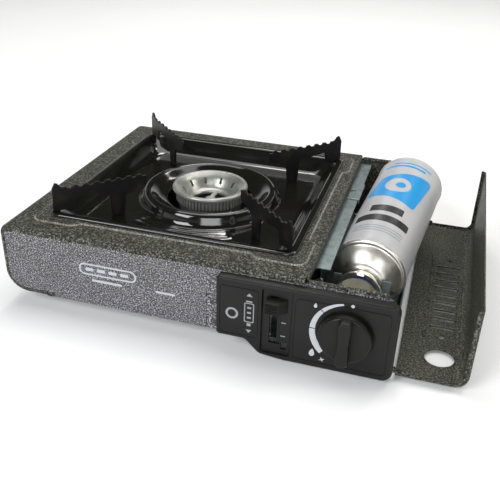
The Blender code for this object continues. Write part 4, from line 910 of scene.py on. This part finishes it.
# ---------------------------------------------------------------- burner
def burner_head(paints):
    centre = Vector((PAN_MIDDLE.x, PAN_MIDDLE.y, 0.0))
    head, skirt = head_high.z, 0.0040
    rim = (head_high.x - head_low.x) / 2
    bowl = 0.0165
    profile = smooth_route(
        [
            (rim - 0.0015, head - skirt, 0), (rim - 0.0002, head - skirt + 0.0006, 0),
            (rim, head - 0.0016, 0),
            (rim - 0.0004, head - 0.0006, 0), (rim - 0.0014, head, 0), (rim - 0.0036, head - 0.0001, 0),
            (rim - 0.0048, head - 0.0008, 0), (rim - 0.0100, head - 0.0048, 0),
            (bowl + 0.0050, head - 0.0122, 0),
            (bowl + 0.0014, head - 0.0142, 0), (bowl + 0.0002, head - 0.0155, 0), (bowl, head - 0.0174, 0),
        ],
        3,
    )
    under = [(bowl + 0.0025, head - 0.0175), (rim - 0.0085, head - 0.0070), (rim - 0.0080, head - skirt)]
    made = object_of("burner_cap", turned([(p.x, p.y) for p in profile] + under, "Z", centre, 128))
    grooves = 10
    for i in range(grooves):
        angle = 2 * math.pi * (i + 0.35) / grooves
        notch = rounded([(-0.0012, -0.0034), (0.0012, -0.0034), (0.0012, 0.0034), (-0.0012, 0.0034)],
                        [0.0011] * 4, steps=5)
        tool = prism(notch, "X", -0.0020, 0.0060)
        lean = Matrix.Rotation(math.radians(38), 4, "Y")
        place = Matrix.Translation(centre + Vector((0, 0, head - 0.0062))) @ Matrix.Rotation(angle, 4, "Z")
        place = place @ Matrix.Translation((rim - 0.0118, 0.0, 0.0)) @ lean
        bmesh.ops.transform(tool, matrix=place, verts=tool.verts)
        cut(made, tool)
    spoke = block(-0.0022, 0.0022, -0.001, bowl + 0.002, head - 0.0172, head - 0.0150)
    hub = [(0.0052, head - 0.0174), (0.0052, head - 0.0152), (0.0040, head - 0.0140), (0.0015, head - 0.0136)]
    hub = turned(hub, "Z", (0.0, 0.0, 0.0), 32, ring=False)
    for bm in (spoke, hub):
        bmesh.ops.translate(bm, vec=centre, verts=bm.verts)
        join(made, bm)
    finish(made, paints["cast_aluminium"], "body", "cast_aluminium", "burner_head", smooth=30)


def port_ring(paints):
    centre = (PAN_MIDDLE.x, PAN_MIDDLE.y)
    outer = (ring_high.x - ring_low.x) / 2
    count = 60
    outline = []
    step = 2 * math.pi / count
    for i in range(count):
        for radius, turn in ((outer - 0.0003, 0.0), (outer, 0.12), (outer, 0.44), (outer - 0.0003, 0.56),
                             (outer - 0.0024, 0.62), (outer - 0.0024, 0.94)):
            angle = (i + turn) * step
            outline.append((centre[0] + radius * math.cos(angle), centre[1] + radius * math.sin(angle)))
    inner_radius = 0.0283
    inner = circle(inner_radius, len(outline), centre)
    low, high = ring_low.z, ring_high.z
    loops = [[(x, y, z) for x, y in ring]
             for ring, z in ((outline, low), (outline, high), (inner, high), (inner, low))]
    made = object_of("flame_ports", skin(loops, ring=True))
    finish(made, paints["cast_aluminium"], "body", "cast_aluminium", "burner_port_ring", smooth=30)


# ---------------------------------------------------------------- controls
def frame_groove(x0, x1, z0, z1, corner, width=0.0007, depth=0.0005):
    """A thin groove that runs round a field of the control panel."""
    rings = []
    for grow in (0.0, width):
        rings.append(rounded(bar(x0 - grow, x1 + grow, z0 - grow, z1 + grow), [corner + grow] * 4, steps=6))
    low, high = PANEL_FACE - depth, PANEL_FACE + depth
    return skin(
        [[(x, y, z) for x, z in ring] for ring, y in
         ((rings[0], low), (rings[1], low), (rings[1], high), (rings[0], high))],
        ring=True,
    )


def fascia(paints):
    left, right, bottom, top = control_low.x, control_high.x, control_low.z, control_high.z
    back = control_high.y
    step = left + 0.024
    step_height = UNDERSIDE + 0.0040
    outline = rounded(
        [(left, top), (left, step_height), (step, step_height), (step + 0.012, bottom + 0.002),
         (step + 0.032, bottom), (right, bottom), (right, top)],
        [0.003, 0.003, 0.006, 0.006, 0.006, 0.008, 0.008],
    )
    bm = prism(outline, "Y", PANEL_FACE, back)
    bmesh.ops.recalc_face_normals(bm, faces=bm.faces)
    front = [f for f in bm.faces if all(abs(v.co.y - PANEL_FACE) < 1e-6 for v in f.verts)]
    bmesh.ops.bevel(bm, geom=list(front[0].edges), offset=0.0026, segments=6, profile=0.55, affect="EDGES",
                    clamp_overlap=True)
    made = object_of("control_fascia", bm)

    wall = 0.0025 + 0.00125
    x0 = left + 0.040
    pocket = [(left + wall, step_height + wall), (x0, step_height + wall), (x0, bottom + wall),
              (right - wall - 0.004, bottom + wall), (right - wall - 0.004, top - wall - 0.002),
              (left + wall, top - wall - 0.002)]
    cut(made, prism(pocket, "Y", PANEL_FACE + 0.0025 + LEVER_RECESS, back + SHEET))

    side = (lever_high.x - lever_low.x) / 2 + 0.0032
    middle = (lever_low.x + lever_high.x) / 2
    recess = [(middle - side, LEVER_MIDDLE - 0.0455), (middle + side, LEVER_MIDDLE - 0.0455),
              (middle + side, LEVER_MIDDLE + 0.0125), (middle - side, LEVER_MIDDLE + 0.0125)]
    recess_loops = []
    outside, lip, sunk = PANEL_FACE - SHEET, PANEL_FACE + 0.0001, PANEL_FACE + LEVER_RECESS
    for grow, y in ((0.0008, outside), (0.0008, lip), (0.0, sunk)):
        corners = [(x + math.copysign(grow, x - middle), z + math.copysign(grow, z - LEVER_MIDDLE + 0.02))
                   for x, z in recess]
        recess_loops.append([(x, y, z) for x, z in rounded(corners, [0.0022] * 4, steps=5)])
    cut(made, skin(recess_loops))
    slot_x = (lever_low.x + 0.0024, lever_low.x + 0.0114)
    cut(made, block(*slot_x, PANEL_FACE - SHEET, back + SHEET, LEVER_MIDDLE - 0.037, LEVER_MIDDLE + 0.0068))
    window = (lever_low.x + 0.0122, lever_low.x + 0.0168)
    cut(made, block(*window, outside, back + SHEET, LEVER_MIDDLE - 0.0415, LEVER_MIDDLE - 0.0345))
    cut(made, prism(circle(0.0040, 48, (VALVE.x, VALVE.z)), "Y", PANEL_FACE - SHEET, back + SHEET))
    groove_top = top - 0.0068
    cut(made, frame_groove(left + 0.0040, middle - side - 0.0035, step_height + 0.0040, groove_top, 0.0015))
    cut(made, frame_groove(middle + side + 0.0035, right - 0.0062, bottom + 0.0060, groove_top, 0.0030))
    moat = bar(KNOB_RADIUS + 0.0003, KNOB_RADIUS + 0.0011, PANEL_FACE - 0.001, PANEL_FACE + 0.0008)
    cut(made, turned(moat, "Y", (VALVE.x, 0.0, VALVE.z), 96))
    soften(made, 0.00020, angle=40)
    finish(made, paints["panel_plastic"], "body", "panel_plastic", "control_panel", smooth=32)

    rib = block(slot_x[1] - 0.0030, slot_x[1] - 0.0002, PANEL_FACE + 0.0030, PANEL_FACE + 0.0042,
                LEVER_MIDDLE - 0.0365, LEVER_MIDDLE + 0.0062)
    track = soften(object_of("lever_track", rib), 0.0002)
    finish(track, paints["panel_plastic"], "body", "panel_plastic")
    for number, drop in enumerate((0.0165, 0.0290)):
        floor = PANEL_FACE + LEVER_RECESS
        tick = block(slot_x[1] + 0.0006, slot_x[1] + 0.0042, floor - 0.0001, floor + 0.0002,
                     LEVER_MIDDLE - drop, LEVER_MIDDLE - drop + 0.0008)
        tick = object_of(f"lever_tick_{number}", tick)
        finish(tick, paints["print_grey"], "body", "panel_plastic", smooth=0)
    return middle, side


def mark(name, outlines, material, slot, face=PANEL_FACE):
    """Flat printed shapes on an upright face, as one piece."""
    made = object_of(name, prism(outlines[0], "Y", face - INK_RISE, face + INK_ROOT))
    for outline in outlines[1:]:
        join_plain(made, object_of(name, prism(outline, "Y", face - INK_RISE, face + INK_ROOT)))
    return finish(made, material, "body", slot, smooth=0)


def arc_band(start, end, outer, width, steps=24):
    """Part of the tapered heat scale round the knob, between two angles in degrees."""
    outside, inside = [], []
    for k in range(steps + 1):
        angle = start + (end - start) * k / steps
        ray = (math.cos(math.radians(angle)), math.sin(math.radians(angle)))
        near = outer - width(angle)
        outside.append((VALVE.x + ray[0] * outer, VALVE.z + ray[1] * outer))
        inside.append((VALVE.x + ray[0] * near, VALVE.z + ray[1] * near))
    return outside + inside[::-1]


def flame(x, z, size):
    """A plain flame: round foot, pointed top bent a little."""
    outline = []
    for k in range(24):
        turn = 2 * math.pi * k / 24
        fat = 0.42 * (1 - 0.5 * max(0.0, math.sin(turn)) ** 1.5)
        tall = 0.5 if math.sin(turn) < 0 else 0.85
        outline.append((x + size * (fat * math.cos(turn) + 0.06 * max(0.0, math.sin(turn))),
                        z + size * tall * math.sin(turn)))
    return outline


def star(x, z, size, points=4):
    outline = []
    for k in range(2 * points):
        radius = size if k % 2 == 0 else size * 0.30
        angle = math.pi * k / points + 0.4
        outline.append((x + radius * math.cos(angle), z + radius * math.sin(angle)))
    return outline


def bar(x0, x1, z0, z1, corner=0.0):
    corners = [(x0, z0), (x1, z0), (x1, z1), (x0, z1)]
    return rounded(corners, [corner] * 4, steps=4) if corner else corners


def hoop(outer, inner):
    """An outline with a hole, as two halves that meet."""
    half = len(outer) // 2
    first = [*outer[: half + 1], *inner[: half + 1][::-1]]
    second = [*outer[half:], outer[0], inner[0], *inner[half:][::-1]]
    return [first, second]


def prints(paints, recess_middle, recess_side):
    scale_outer = KNOB_RADIUS + 0.0072
    start, end = 98.0, 228.0

    def width(angle):
        return 0.0014 + 0.0042 * ((angle - start) / (end - start)) ** 0.7

    bands = [arc_band(start, 136, scale_outer, width), arc_band(137.6, 176, scale_outer, width),
             arc_band(177.6, end, scale_outer, width)]
    mark("heat_scale", bands, paints["print_white"], "panel_plastic")

    def ray(angle, reach):
        turn = math.radians(angle)
        return (VALVE.x + reach * math.cos(turn), VALVE.z + reach * math.sin(turn))

    off = ray(84, scale_outer - 0.0008)
    low = ray(139, scale_outer + 0.0048)
    high = ray(222, scale_outer + 0.0052)
    spark = ray(238, scale_outer + 0.0030)
    shapes = [circle(0.0014, 24, off), flame(*low, 0.0030), flame(*high, 0.0052), star(*spark, 0.0026)]
    mark("knob_marks", shapes, paints["print_white"], "panel_plastic")

    x = recess_middle - recess_side - 0.0105
    middle = (control_low.z + control_high.z) / 2 + 0.006
    can = hoop(bar(x - 0.0040, x + 0.0040, middle - 0.0090, middle + 0.0090, 0.0012),
               bar(x - 0.0032, x + 0.0032, middle - 0.0082, middle + 0.0082, 0.0006))
    neck = [bar(x - 0.0016, x + 0.0016, middle - 0.0125, middle - 0.0098),
            bar(x - 0.0024, x + 0.0024, middle + 0.0097, middle + 0.0110)]
    rungs = [bar(x - 0.0016, x + 0.0016, middle + rise - 0.0008, middle + rise + 0.0008)
             for rise in (-0.0046, 0.0, 0.0046)]
    arrows = [[(x - 0.0024, middle + 0.0150), (x + 0.0024, middle + 0.0150), (x, middle + 0.0180)],
              [(x + 0.0024, middle - 0.0160), (x - 0.0024, middle - 0.0160), (x, middle - 0.0190)]]
    mark("can_marks", [*can, *neck, *rungs, *arrows], paints["print_grey"], "panel_plastic")
    away = (x - 0.0140, middle - 0.0030)
    lock = hoop(circle(0.0052, 32, away), circle(0.0034, 32, away))
    mark("lock_mark", lock, paints["print_grey"], "panel_plastic")

    z0 = (TOP + UNDERSIDE) / 2
    x0 = STOVE_MIDDLE.x - 0.070
    emblem = hoop(bar(x0 - 0.026, x0 + 0.026, z0 - 0.0010, z0 + 0.0100, 0.0050),
                  bar(x0 - 0.0246, x0 + 0.0246, z0 + 0.0004, z0 + 0.0086, 0.0038))
    cell = 0.0105
    inner = [bar(x0 - 0.0200 + k * cell, x0 - 0.0125 + k * cell, z0 + 0.0030, z0 + 0.0060, 0.0012)
             for k in range(4)]
    line = [bar(x0 - 0.0150, x0 + 0.0130, z0 - 0.0068, z0 - 0.0046, 0.0010),
            bar(x0 + 0.0430, x0 + 0.0600, z0 - 0.0060, z0 - 0.0040, 0.0009)]
    mark("front_emblem", [*emblem, *inner, *line], paints["print_white"], "hammertone", FRONT)


def knob(paints):
    back, face = knob_high.y, knob_high.y - 0.0070
    grip_face = knob_low.y
    radius = KNOB_RADIUS
    profile = [
        (radius, back), (radius - 0.0001, back - 0.0030), (radius - 0.0006, face + 0.0016),
        (radius - 0.0011, face + 0.0006),
        (radius - 0.0020, face), (radius - 0.0032, face + 0.0002), (radius - 0.0042, face + 0.0008),
        (0.0040, face + 0.0008),
    ]
    centre = (VALVE.x, 0.0, VALVE.z)
    made = object_of("control_knob", turned(profile, "Y", centre, 128, ring=False))
    half, long = 0.0055, radius - 0.0010
    waist = half - 0.0012
    corners = [(-half, -long), (half, -long), (waist, 0.0), (half, long), (-half, long), (-waist, 0.0)]
    grip = rounded(corners, [0.0032, 0.0032, 0.030, 0.0032, 0.0032, 0.030], steps=8)
    loops = []
    height = face + 0.002 - grip_face
    for share, shrink in ((0.0, 1.0), (0.70, 0.985), (0.86, 0.95), (0.95, 0.88), (0.99, 0.78), (1.0, 0.66)):
        y = face + 0.002 - height * share
        slim = 1 - (1 - shrink) * 0.35
        loops.append([(VALVE.x + x * shrink, y, VALVE.z + z * slim) for x, z in grip])
    join(made, skin(loops))
    socket = prism(circle(0.0033, 32, (VALVE.x, VALVE.z)), "Y", face + 0.0005, back + 0.001)
    cut(made, socket)
    soften(made, 0.00025, angle=45)
    finish(made, paints["black_plastic"], "dial", "black_plastic", "knob", smooth=40)


def lever(paints):
    face = PANEL_FACE - 0.0055
    back = PANEL_FACE + LEVER_RECESS - 2 * GAP
    half = (lever_high.z - lever_low.z) / 2
    left, right = lever_low.x, lever_high.x
    slant = 0.0070
    groove = 0.0007
    outline = [(back, -half), (face, -half)]
    teeth = 5
    pitch = (2 * half - 0.0025) / teeth
    for i in range(teeth):
        z = -half + pitch * i
        outline += [(face, z + pitch * 0.30), (face, z + pitch * 0.55), (face + groove, z + pitch * 0.65),
                    (face + groove, z + pitch * 0.90)]
    outline += [(face, half - 0.0025), (back, half)]

    def right_side(y):
        return right - slant * 0.999 * max(0.0, (back - y) / (back - face))

    loops = [[(left, y, LEVER_MIDDLE + z) for y, z in outline],
             [(right_side(y), y, LEVER_MIDDLE + z) for y, z in outline]]
    made = object_of("lever_grip", skin(loops))
    stem_half = 0.0030
    stem_x = left + stem_half + 0.0008
    join(made, block(stem_x - stem_half, stem_x + stem_half, back - 0.002, lever_high.y,
                     LEVER_MIDDLE - stem_half, LEVER_MIDDLE + stem_half))
    pin_low, pin_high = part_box("lever_pin")
    hole = circle(0.0023, 24, ((pin_low.y + pin_high.y) / 2, (pin_low.z + pin_high.z) / 2))
    cut(made, prism(hole, "X", pin_low.x - 0.0005, pin_high.x))
    soften(made, 0.0003, angle=28)
    finish(made, paints["black_plastic"], "lever", "black_plastic", "lock_lever", smooth=30)


# ---------------------------------------------------------------- gas can
CAN_TURN = Matrix.Rotation(math.radians(-7.0), 4, "Z") @ Matrix.Rotation(math.radians(8.5), 4, "X")
CAN_PLACE = Matrix.Translation(CAN_PIVOT) @ CAN_TURN
CAN_RADIUS = 0.0330
CAN_BEAD = 0.0006  # the end seams' height over the body
CAN_SEAM = 0.0235
CAN_END = CAN_SEAM + 0.150


def can_part(name, profile, material, slot, node, count=128, ring=True, smooth=40):
    bm = turned(profile, "Y", (0.0, 0.0, 0.0), count, ring)
    bmesh.ops.transform(bm, matrix=CAN_PLACE, verts=bm.verts)
    nodes = (node,) if node else ()
    return finish(object_of(name, bm), material, "can", slot, *nodes, smooth=smooth)


def bead_profile(radius, start, end, rise, steps=6):
    return [(radius + rise * math.sin(math.pi * k / steps), start + (end - start) * k / steps)
            for k in range(steps + 1)]


def wrapped(name, outlines, material, lift):
    """Printed shapes laid round the can: outlines of (arc from the top line, distance along)."""
    radius = CAN_RADIUS - CAN_BEAD + lift
    bm = bmesh.new()
    for outline in outlines:
        bm.faces.new([bm.verts.new((s, t, 0.0)) for s, t in outline])
    slice_width = 0.0020
    spread = max(abs(v.co.x) for v in bm.verts)
    for k in range(-int(spread / slice_width) - 1, int(spread / slice_width) + 2):
        geometry = bm.verts[:] + bm.edges[:] + bm.faces[:]
        bmesh.ops.bisect_plane(bm, geom=geometry, dist=1e-7, plane_co=(k * slice_width, 0, 0),
                               plane_no=(1, 0, 0))
    bmesh.ops.triangulate(bm, faces=[f for f in bm.faces if len(f.verts) > 4])
    for vert in bm.verts:
        angle = vert.co.x / radius
        vert.co = Vector((radius * math.sin(angle), vert.co.y, radius * math.cos(angle)))
    bmesh.ops.transform(bm, matrix=CAN_PLACE, verts=bm.verts)
    made = object_of(name, bm)
    thick = made.modifiers.new("ink", "SOLIDIFY")
    thick.thickness = 0.00004
    thick.offset = 0
    settle(made)
    return finish(made, material, "can", "can_print", smooth=30)


def gas_can(paints):
    wall = 0.0008
    skin_radius = CAN_RADIUS - CAN_BEAD
    body = [
        *bead_profile(skin_radius, CAN_SEAM, CAN_SEAM + 0.0026, 0.0005),
        (skin_radius, CAN_SEAM + 0.0034), (skin_radius, CAN_SEAM + 0.05),
        (skin_radius, CAN_SEAM + 0.10), (skin_radius, CAN_END - 0.0034),
        *bead_profile(skin_radius, CAN_END - 0.0026, CAN_END, 0.0005),
        (skin_radius - wall, CAN_END), (skin_radius - wall, CAN_SEAM),
    ]
    can_part("can_shell", body, paints["can_print"], "can_print", "can_body")

    base_outer = skin_radius - wall - GAP
    base = smooth_route(
        [
            (base_outer, CAN_END - 0.0010, 0), (base_outer - 0.0010, CAN_END - 0.0002, 0),
            (base_outer - 0.0022, CAN_END, 0),
            (base_outer - 0.0038, CAN_END - 0.0012, 0), (base_outer - 0.0070, CAN_END - 0.0040, 0),
            (0.0180, CAN_END - 0.0085, 0), (0.0060, CAN_END - 0.0104, 0), (0.0005, CAN_END - 0.0106, 0),
        ],
        4,
    )
    base = [(p.x, p.y) for p in base]
    inner = [(0.0005, CAN_END - 0.0115), (0.0180, CAN_END - 0.0094), (base_outer - 0.0040, CAN_END - 0.0035),
             (base_outer, CAN_END - 0.0035)]
    can_part("can_bottom", base + inner, paints["tinplate"], "tinplate", "can_base")

    neck = 0.0140
    shoulder = CAN_SEAM - GAP
    low = shoulder - 0.0180
    dome = smooth_route(
        [
            (CAN_RADIUS - 0.0010, shoulder, 0), (CAN_RADIUS - 0.0001, shoulder - 0.0008, 0),
            (CAN_RADIUS - 0.0001, shoulder - 0.0020, 0), (CAN_RADIUS - 0.0012, shoulder - 0.0030, 0),
            (CAN_RADIUS - 0.0030, shoulder - 0.0034, 0), (CAN_RADIUS - 0.0042, shoulder - 0.0046, 0),
            (CAN_RADIUS - 0.0070, shoulder - 0.0084, 0), (CAN_RADIUS - 0.0105, shoulder - 0.0122, 0),
            (neck + 0.0055, shoulder - 0.0150, 0), (neck + 0.0030, shoulder - 0.0164, 0),
            (neck + 0.0018, shoulder - 0.0174, 0), (neck + 0.0014, low, 0),
        ],
        4,
    )
    inside = [(neck + 0.0005, low), (neck + 0.0020, low + 0.0026), (neck + 0.0075, shoulder - 0.0118),
              (CAN_RADIUS - 0.0075, shoulder - 0.0067), (CAN_RADIUS - 0.0045, shoulder)]
    outside = [(p.x, p.y) for p in dome]
    can_part("can_shoulder", outside + inside, paints["tinplate"], "tinplate", "can_dome")

    flange, front = 0.0190, -0.0055
    collar = [
        (neck, low + 0.002), (neck, -0.0030), (neck + 0.0004, -0.0036), (flange - 0.0008, -0.0036),
        (flange, -0.0041), (flange, -0.0050), (flange - 0.0006, front), (neck + 0.0010, front),
        (neck - 0.0006, front + 0.0004), (neck - 0.0030, front + 0.0032), (neck - 0.0045, front + 0.0040),
        (0.0052, front + 0.0040), (0.0026, front + 0.0030), (0.0026, low + 0.002),
    ]
    made = can_part("can_flange", collar, paints["tinplate"], "tinplate", "can_collar")
    notch = block(-0.003, 0.003, front - 0.001, -0.0026, flange - 0.003, flange + 0.002)
    bmesh.ops.transform(notch, matrix=CAN_PLACE, verts=notch.verts)
    cut(made, notch)

    stem = [(0.0022, 0.0055), (0.0022, front - 0.0076), (0.0019, front - 0.0083), (0.0014, front - 0.0085),
            (0.0009, front - 0.0083), (0.0008, front - 0.0040), (0.0002, front - 0.0035)]
    can_part("can_stem", stem, paints["valve_blue"], "valve_blue", "can_valve", count=48, ring=False)
    seal = [(0.0030, front + 0.0044), (0.0098, front + 0.0044), (0.0098, front - 0.0010),
            (0.0092, front - 0.0016), (0.0062, front - 0.0016), (0.0055, front - 0.0008),
            (0.0055, front + 0.0032), (0.0030, front + 0.0036)]
    can_part("can_seal", seal, paints["valve_blue"], "valve_blue", None)

    band_low, band_high = CAN_SEAM + 0.066, CAN_SEAM + 0.125
    reach = 0.0300
    panel = rounded([(-reach, band_low + 0.014), (reach * 0.72, band_low), (reach, band_high),
                     (-reach * 0.72, band_high - 0.014)], [0.004] * 4, steps=6)
    wrapped("can_band", [panel], paints["print_blue"], 0.00005)
    disc = circle(0.0125, 48, (-0.001, (band_low + band_high) / 2))
    wrapped("can_disc", [disc], paints["can_print"], 0.00011)
    drop = circle(0.0048, 32, (0.0015, (band_low + band_high) / 2))
    wrapped("can_drop", [drop], paints["print_blue"], 0.00017)
    top_lines = [bar(-0.0240, 0.0180, CAN_SEAM + 0.131, CAN_SEAM + 0.134, 0.001),
                 bar(-0.0150, 0.0240, CAN_SEAM + 0.137, CAN_SEAM + 0.139, 0.0008)]
    wrapped("can_lines_blue", top_lines, paints["print_blue"], 0.00005)
    words = [bar(-0.0160, 0.0150, CAN_SEAM + 0.048, CAN_SEAM + 0.058, 0.001),
             bar(-0.0260, 0.0250, CAN_SEAM + 0.032, CAN_SEAM + 0.042, 0.001)]
    wrapped("can_bars_black", words, paints["print_black"], 0.00005)
    small = [bar(-0.0240, 0.0230, CAN_SEAM + 0.0235 - 0.0035 * k, CAN_SEAM + 0.0247 - 0.0035 * k)
             for k in range(3)]
    wrapped("can_lines_grey", small, paints["print_grey"], 0.00005)


# ---------------------------------------------------------------- nodes shown as they are
def dress(node, material, width=0.0002, angle=35):
    """A better finish on a carried-over node, with small rounds along its edges."""
    shown = frame["nodes"][node]
    shown.data.materials.clear()
    shown.data.materials.append(material)
    weld = shown.modifiers.new("weld", "WELD")
    weld.merge_threshold = 1e-5
    flat = shown.modifiers.new("flat", "DECIMATE")
    flat.decimate_type = "DISSOLVE"
    flat.angle_limit = math.radians(1.0)
    if width:
        bevel = shown.modifiers.new("rounds", "BEVEL")
        bevel.width = width
        bevel.segments = 2
        bevel.limit_method = "ANGLE"
        bevel.angle_limit = math.radians(angle)


def carried_over(paints):
    slots = {row["node"]: row["material_slot"] for row in frame["record"]["subparts"]}
    for name, shown in frame["nodes"].items():
        if not shown.hide_render:
            dress(name, paints[slots[name]])


# ---------------------------------------------------------------- studio
CAMERA_FROM = Vector((0.1769, -0.5778, 0.3465))  # from the body's middle at the table
CAMERA_AZIMUTH = 15.85
CAMERA_ELEVATION = 29.09
CAMERA_ROLL = 1.92
CAMERA_LENS = 49.86
SENSOR = 36.0


def camera():
    data = bpy.data.cameras.new("camera")
    data.sensor_width = SENSOR
    data.lens = CAMERA_LENS
    made = bpy.data.objects.new("camera", data)
    bpy.context.scene.collection.objects.link(made)
    turn = Matrix.Rotation(math.radians(CAMERA_AZIMUTH), 4, "Z")
    tilt = Matrix.Rotation(math.radians(90 - CAMERA_ELEVATION), 4, "X")
    roll = Matrix.Rotation(math.radians(CAMERA_ROLL), 4, "Z")
    made.matrix_world = Matrix.Translation(STOVE_MIDDLE + CAMERA_FROM) @ turn @ tilt @ roll
    bpy.context.scene.camera = made


def softbox(name, place, target, size, power, colour):
    data = bpy.data.lights.new(name, "AREA")
    data.shape = "RECTANGLE"
    data.size, data.size_y = size
    data.energy = power
    data.color = colour
    made = bpy.data.objects.new(name, data)
    bpy.context.scene.collection.objects.link(made)
    made.location = place
    made.rotation_euler = (Vector(target) - Vector(place)).to_track_quat("-Z", "Y").to_euler()


def studio():
    bm = bmesh.new()
    bmesh.ops.create_grid(bm, x_segments=2, y_segments=2, size=6.0)
    floor = object_of("studio_floor", bm)
    floor.location.z = -0.0001
    paint = Paint("floor_paper", (0.90, 0.90, 0.90), 0.8)
    tint = paint.ramp(paint.noise(3.0), (0.3, (0.89, 0.89, 0.89)), (0.7, (0.91, 0.91, 0.91)))
    paint.set("Base Color", tint)
    floor.data.materials.append(paint.material)

    aim = STOVE_MIDDLE
    softbox("key", aim + Vector((-0.9, -1.6, 1.3)), aim, (0.9, 0.9), 28, (0.96, 0.97, 1.0))
    softbox("front", aim + Vector((0.7, -2.0, 0.9)), aim, (1.2, 0.8), 20, (0.96, 0.97, 1.0))
    softbox("window", aim + Vector((-0.35, 1.25, 1.45)), aim, (0.30, 0.45), 5, (1.0, 0.99, 0.96))
    softbox("small_window", aim + Vector((0.75, 1.10, 1.50)), aim, (0.16, 0.28), 2.5, (1.0, 0.98, 0.93))
    softbox("side", aim + Vector((1.9, 0.5, 1.3)), aim, (0.6, 0.8), 14, (1.0, 0.98, 0.95))
    below = aim + Vector((0.0, 1.1, 0.0))
    softbox("ceiling", aim + Vector((0.0, 0.9, 2.6)), below, (2.6, 2.0), 48, (1.0, 1.0, 0.98))

    world = bpy.data.worlds.new("studio")
    bpy.context.scene.world = world
    world.use_nodes = True
    tree = world.node_tree
    way = tree.nodes.new("ShaderNodeTexCoord").outputs["Generated"]
    parts = tree.nodes.new("ShaderNodeSeparateXYZ")
    tree.links.new(way, parts.inputs["Vector"])
    ramp = tree.nodes.new("ShaderNodeValToRGB")
    stops = ((0.0, (1.0, 1.0, 1.0)), (0.16, (0.95, 0.95, 0.95)), (0.34, (0.05, 0.05, 0.045)),
             (1.0, (0.08, 0.08, 0.07)))
    while len(ramp.color_ramp.elements) < len(stops):
        ramp.color_ramp.elements.new(1.0)
    for element, (place, colour) in zip(ramp.color_ramp.elements, stops):
        element.position = place
        element.color = (*colour, 1.0)
    tree.links.new(parts.outputs["Z"], ramp.inputs["Fac"])
    back = tree.nodes["Background"]
    tree.links.new(ramp.outputs["Color"], back.inputs["Color"])
    back.inputs["Strength"].default_value = 1.0
    bpy.context.scene.view_settings.view_transform = "Standard"


def main():
    camera()
    studio()
    paints = make_paints()
    cover_shell(paints)
    front_shell(paints)
    rear_shell(paints)
    lid_shell(paints)
    pan_shell(paints)
    supports(paints)
    burner_head(paints)
    port_ring(paints)
    recess = fascia(paints)
    prints(paints, *recess)
    knob(paints)
    lever(paints)
    gas_can(paints)
    carried_over(paints)


main()
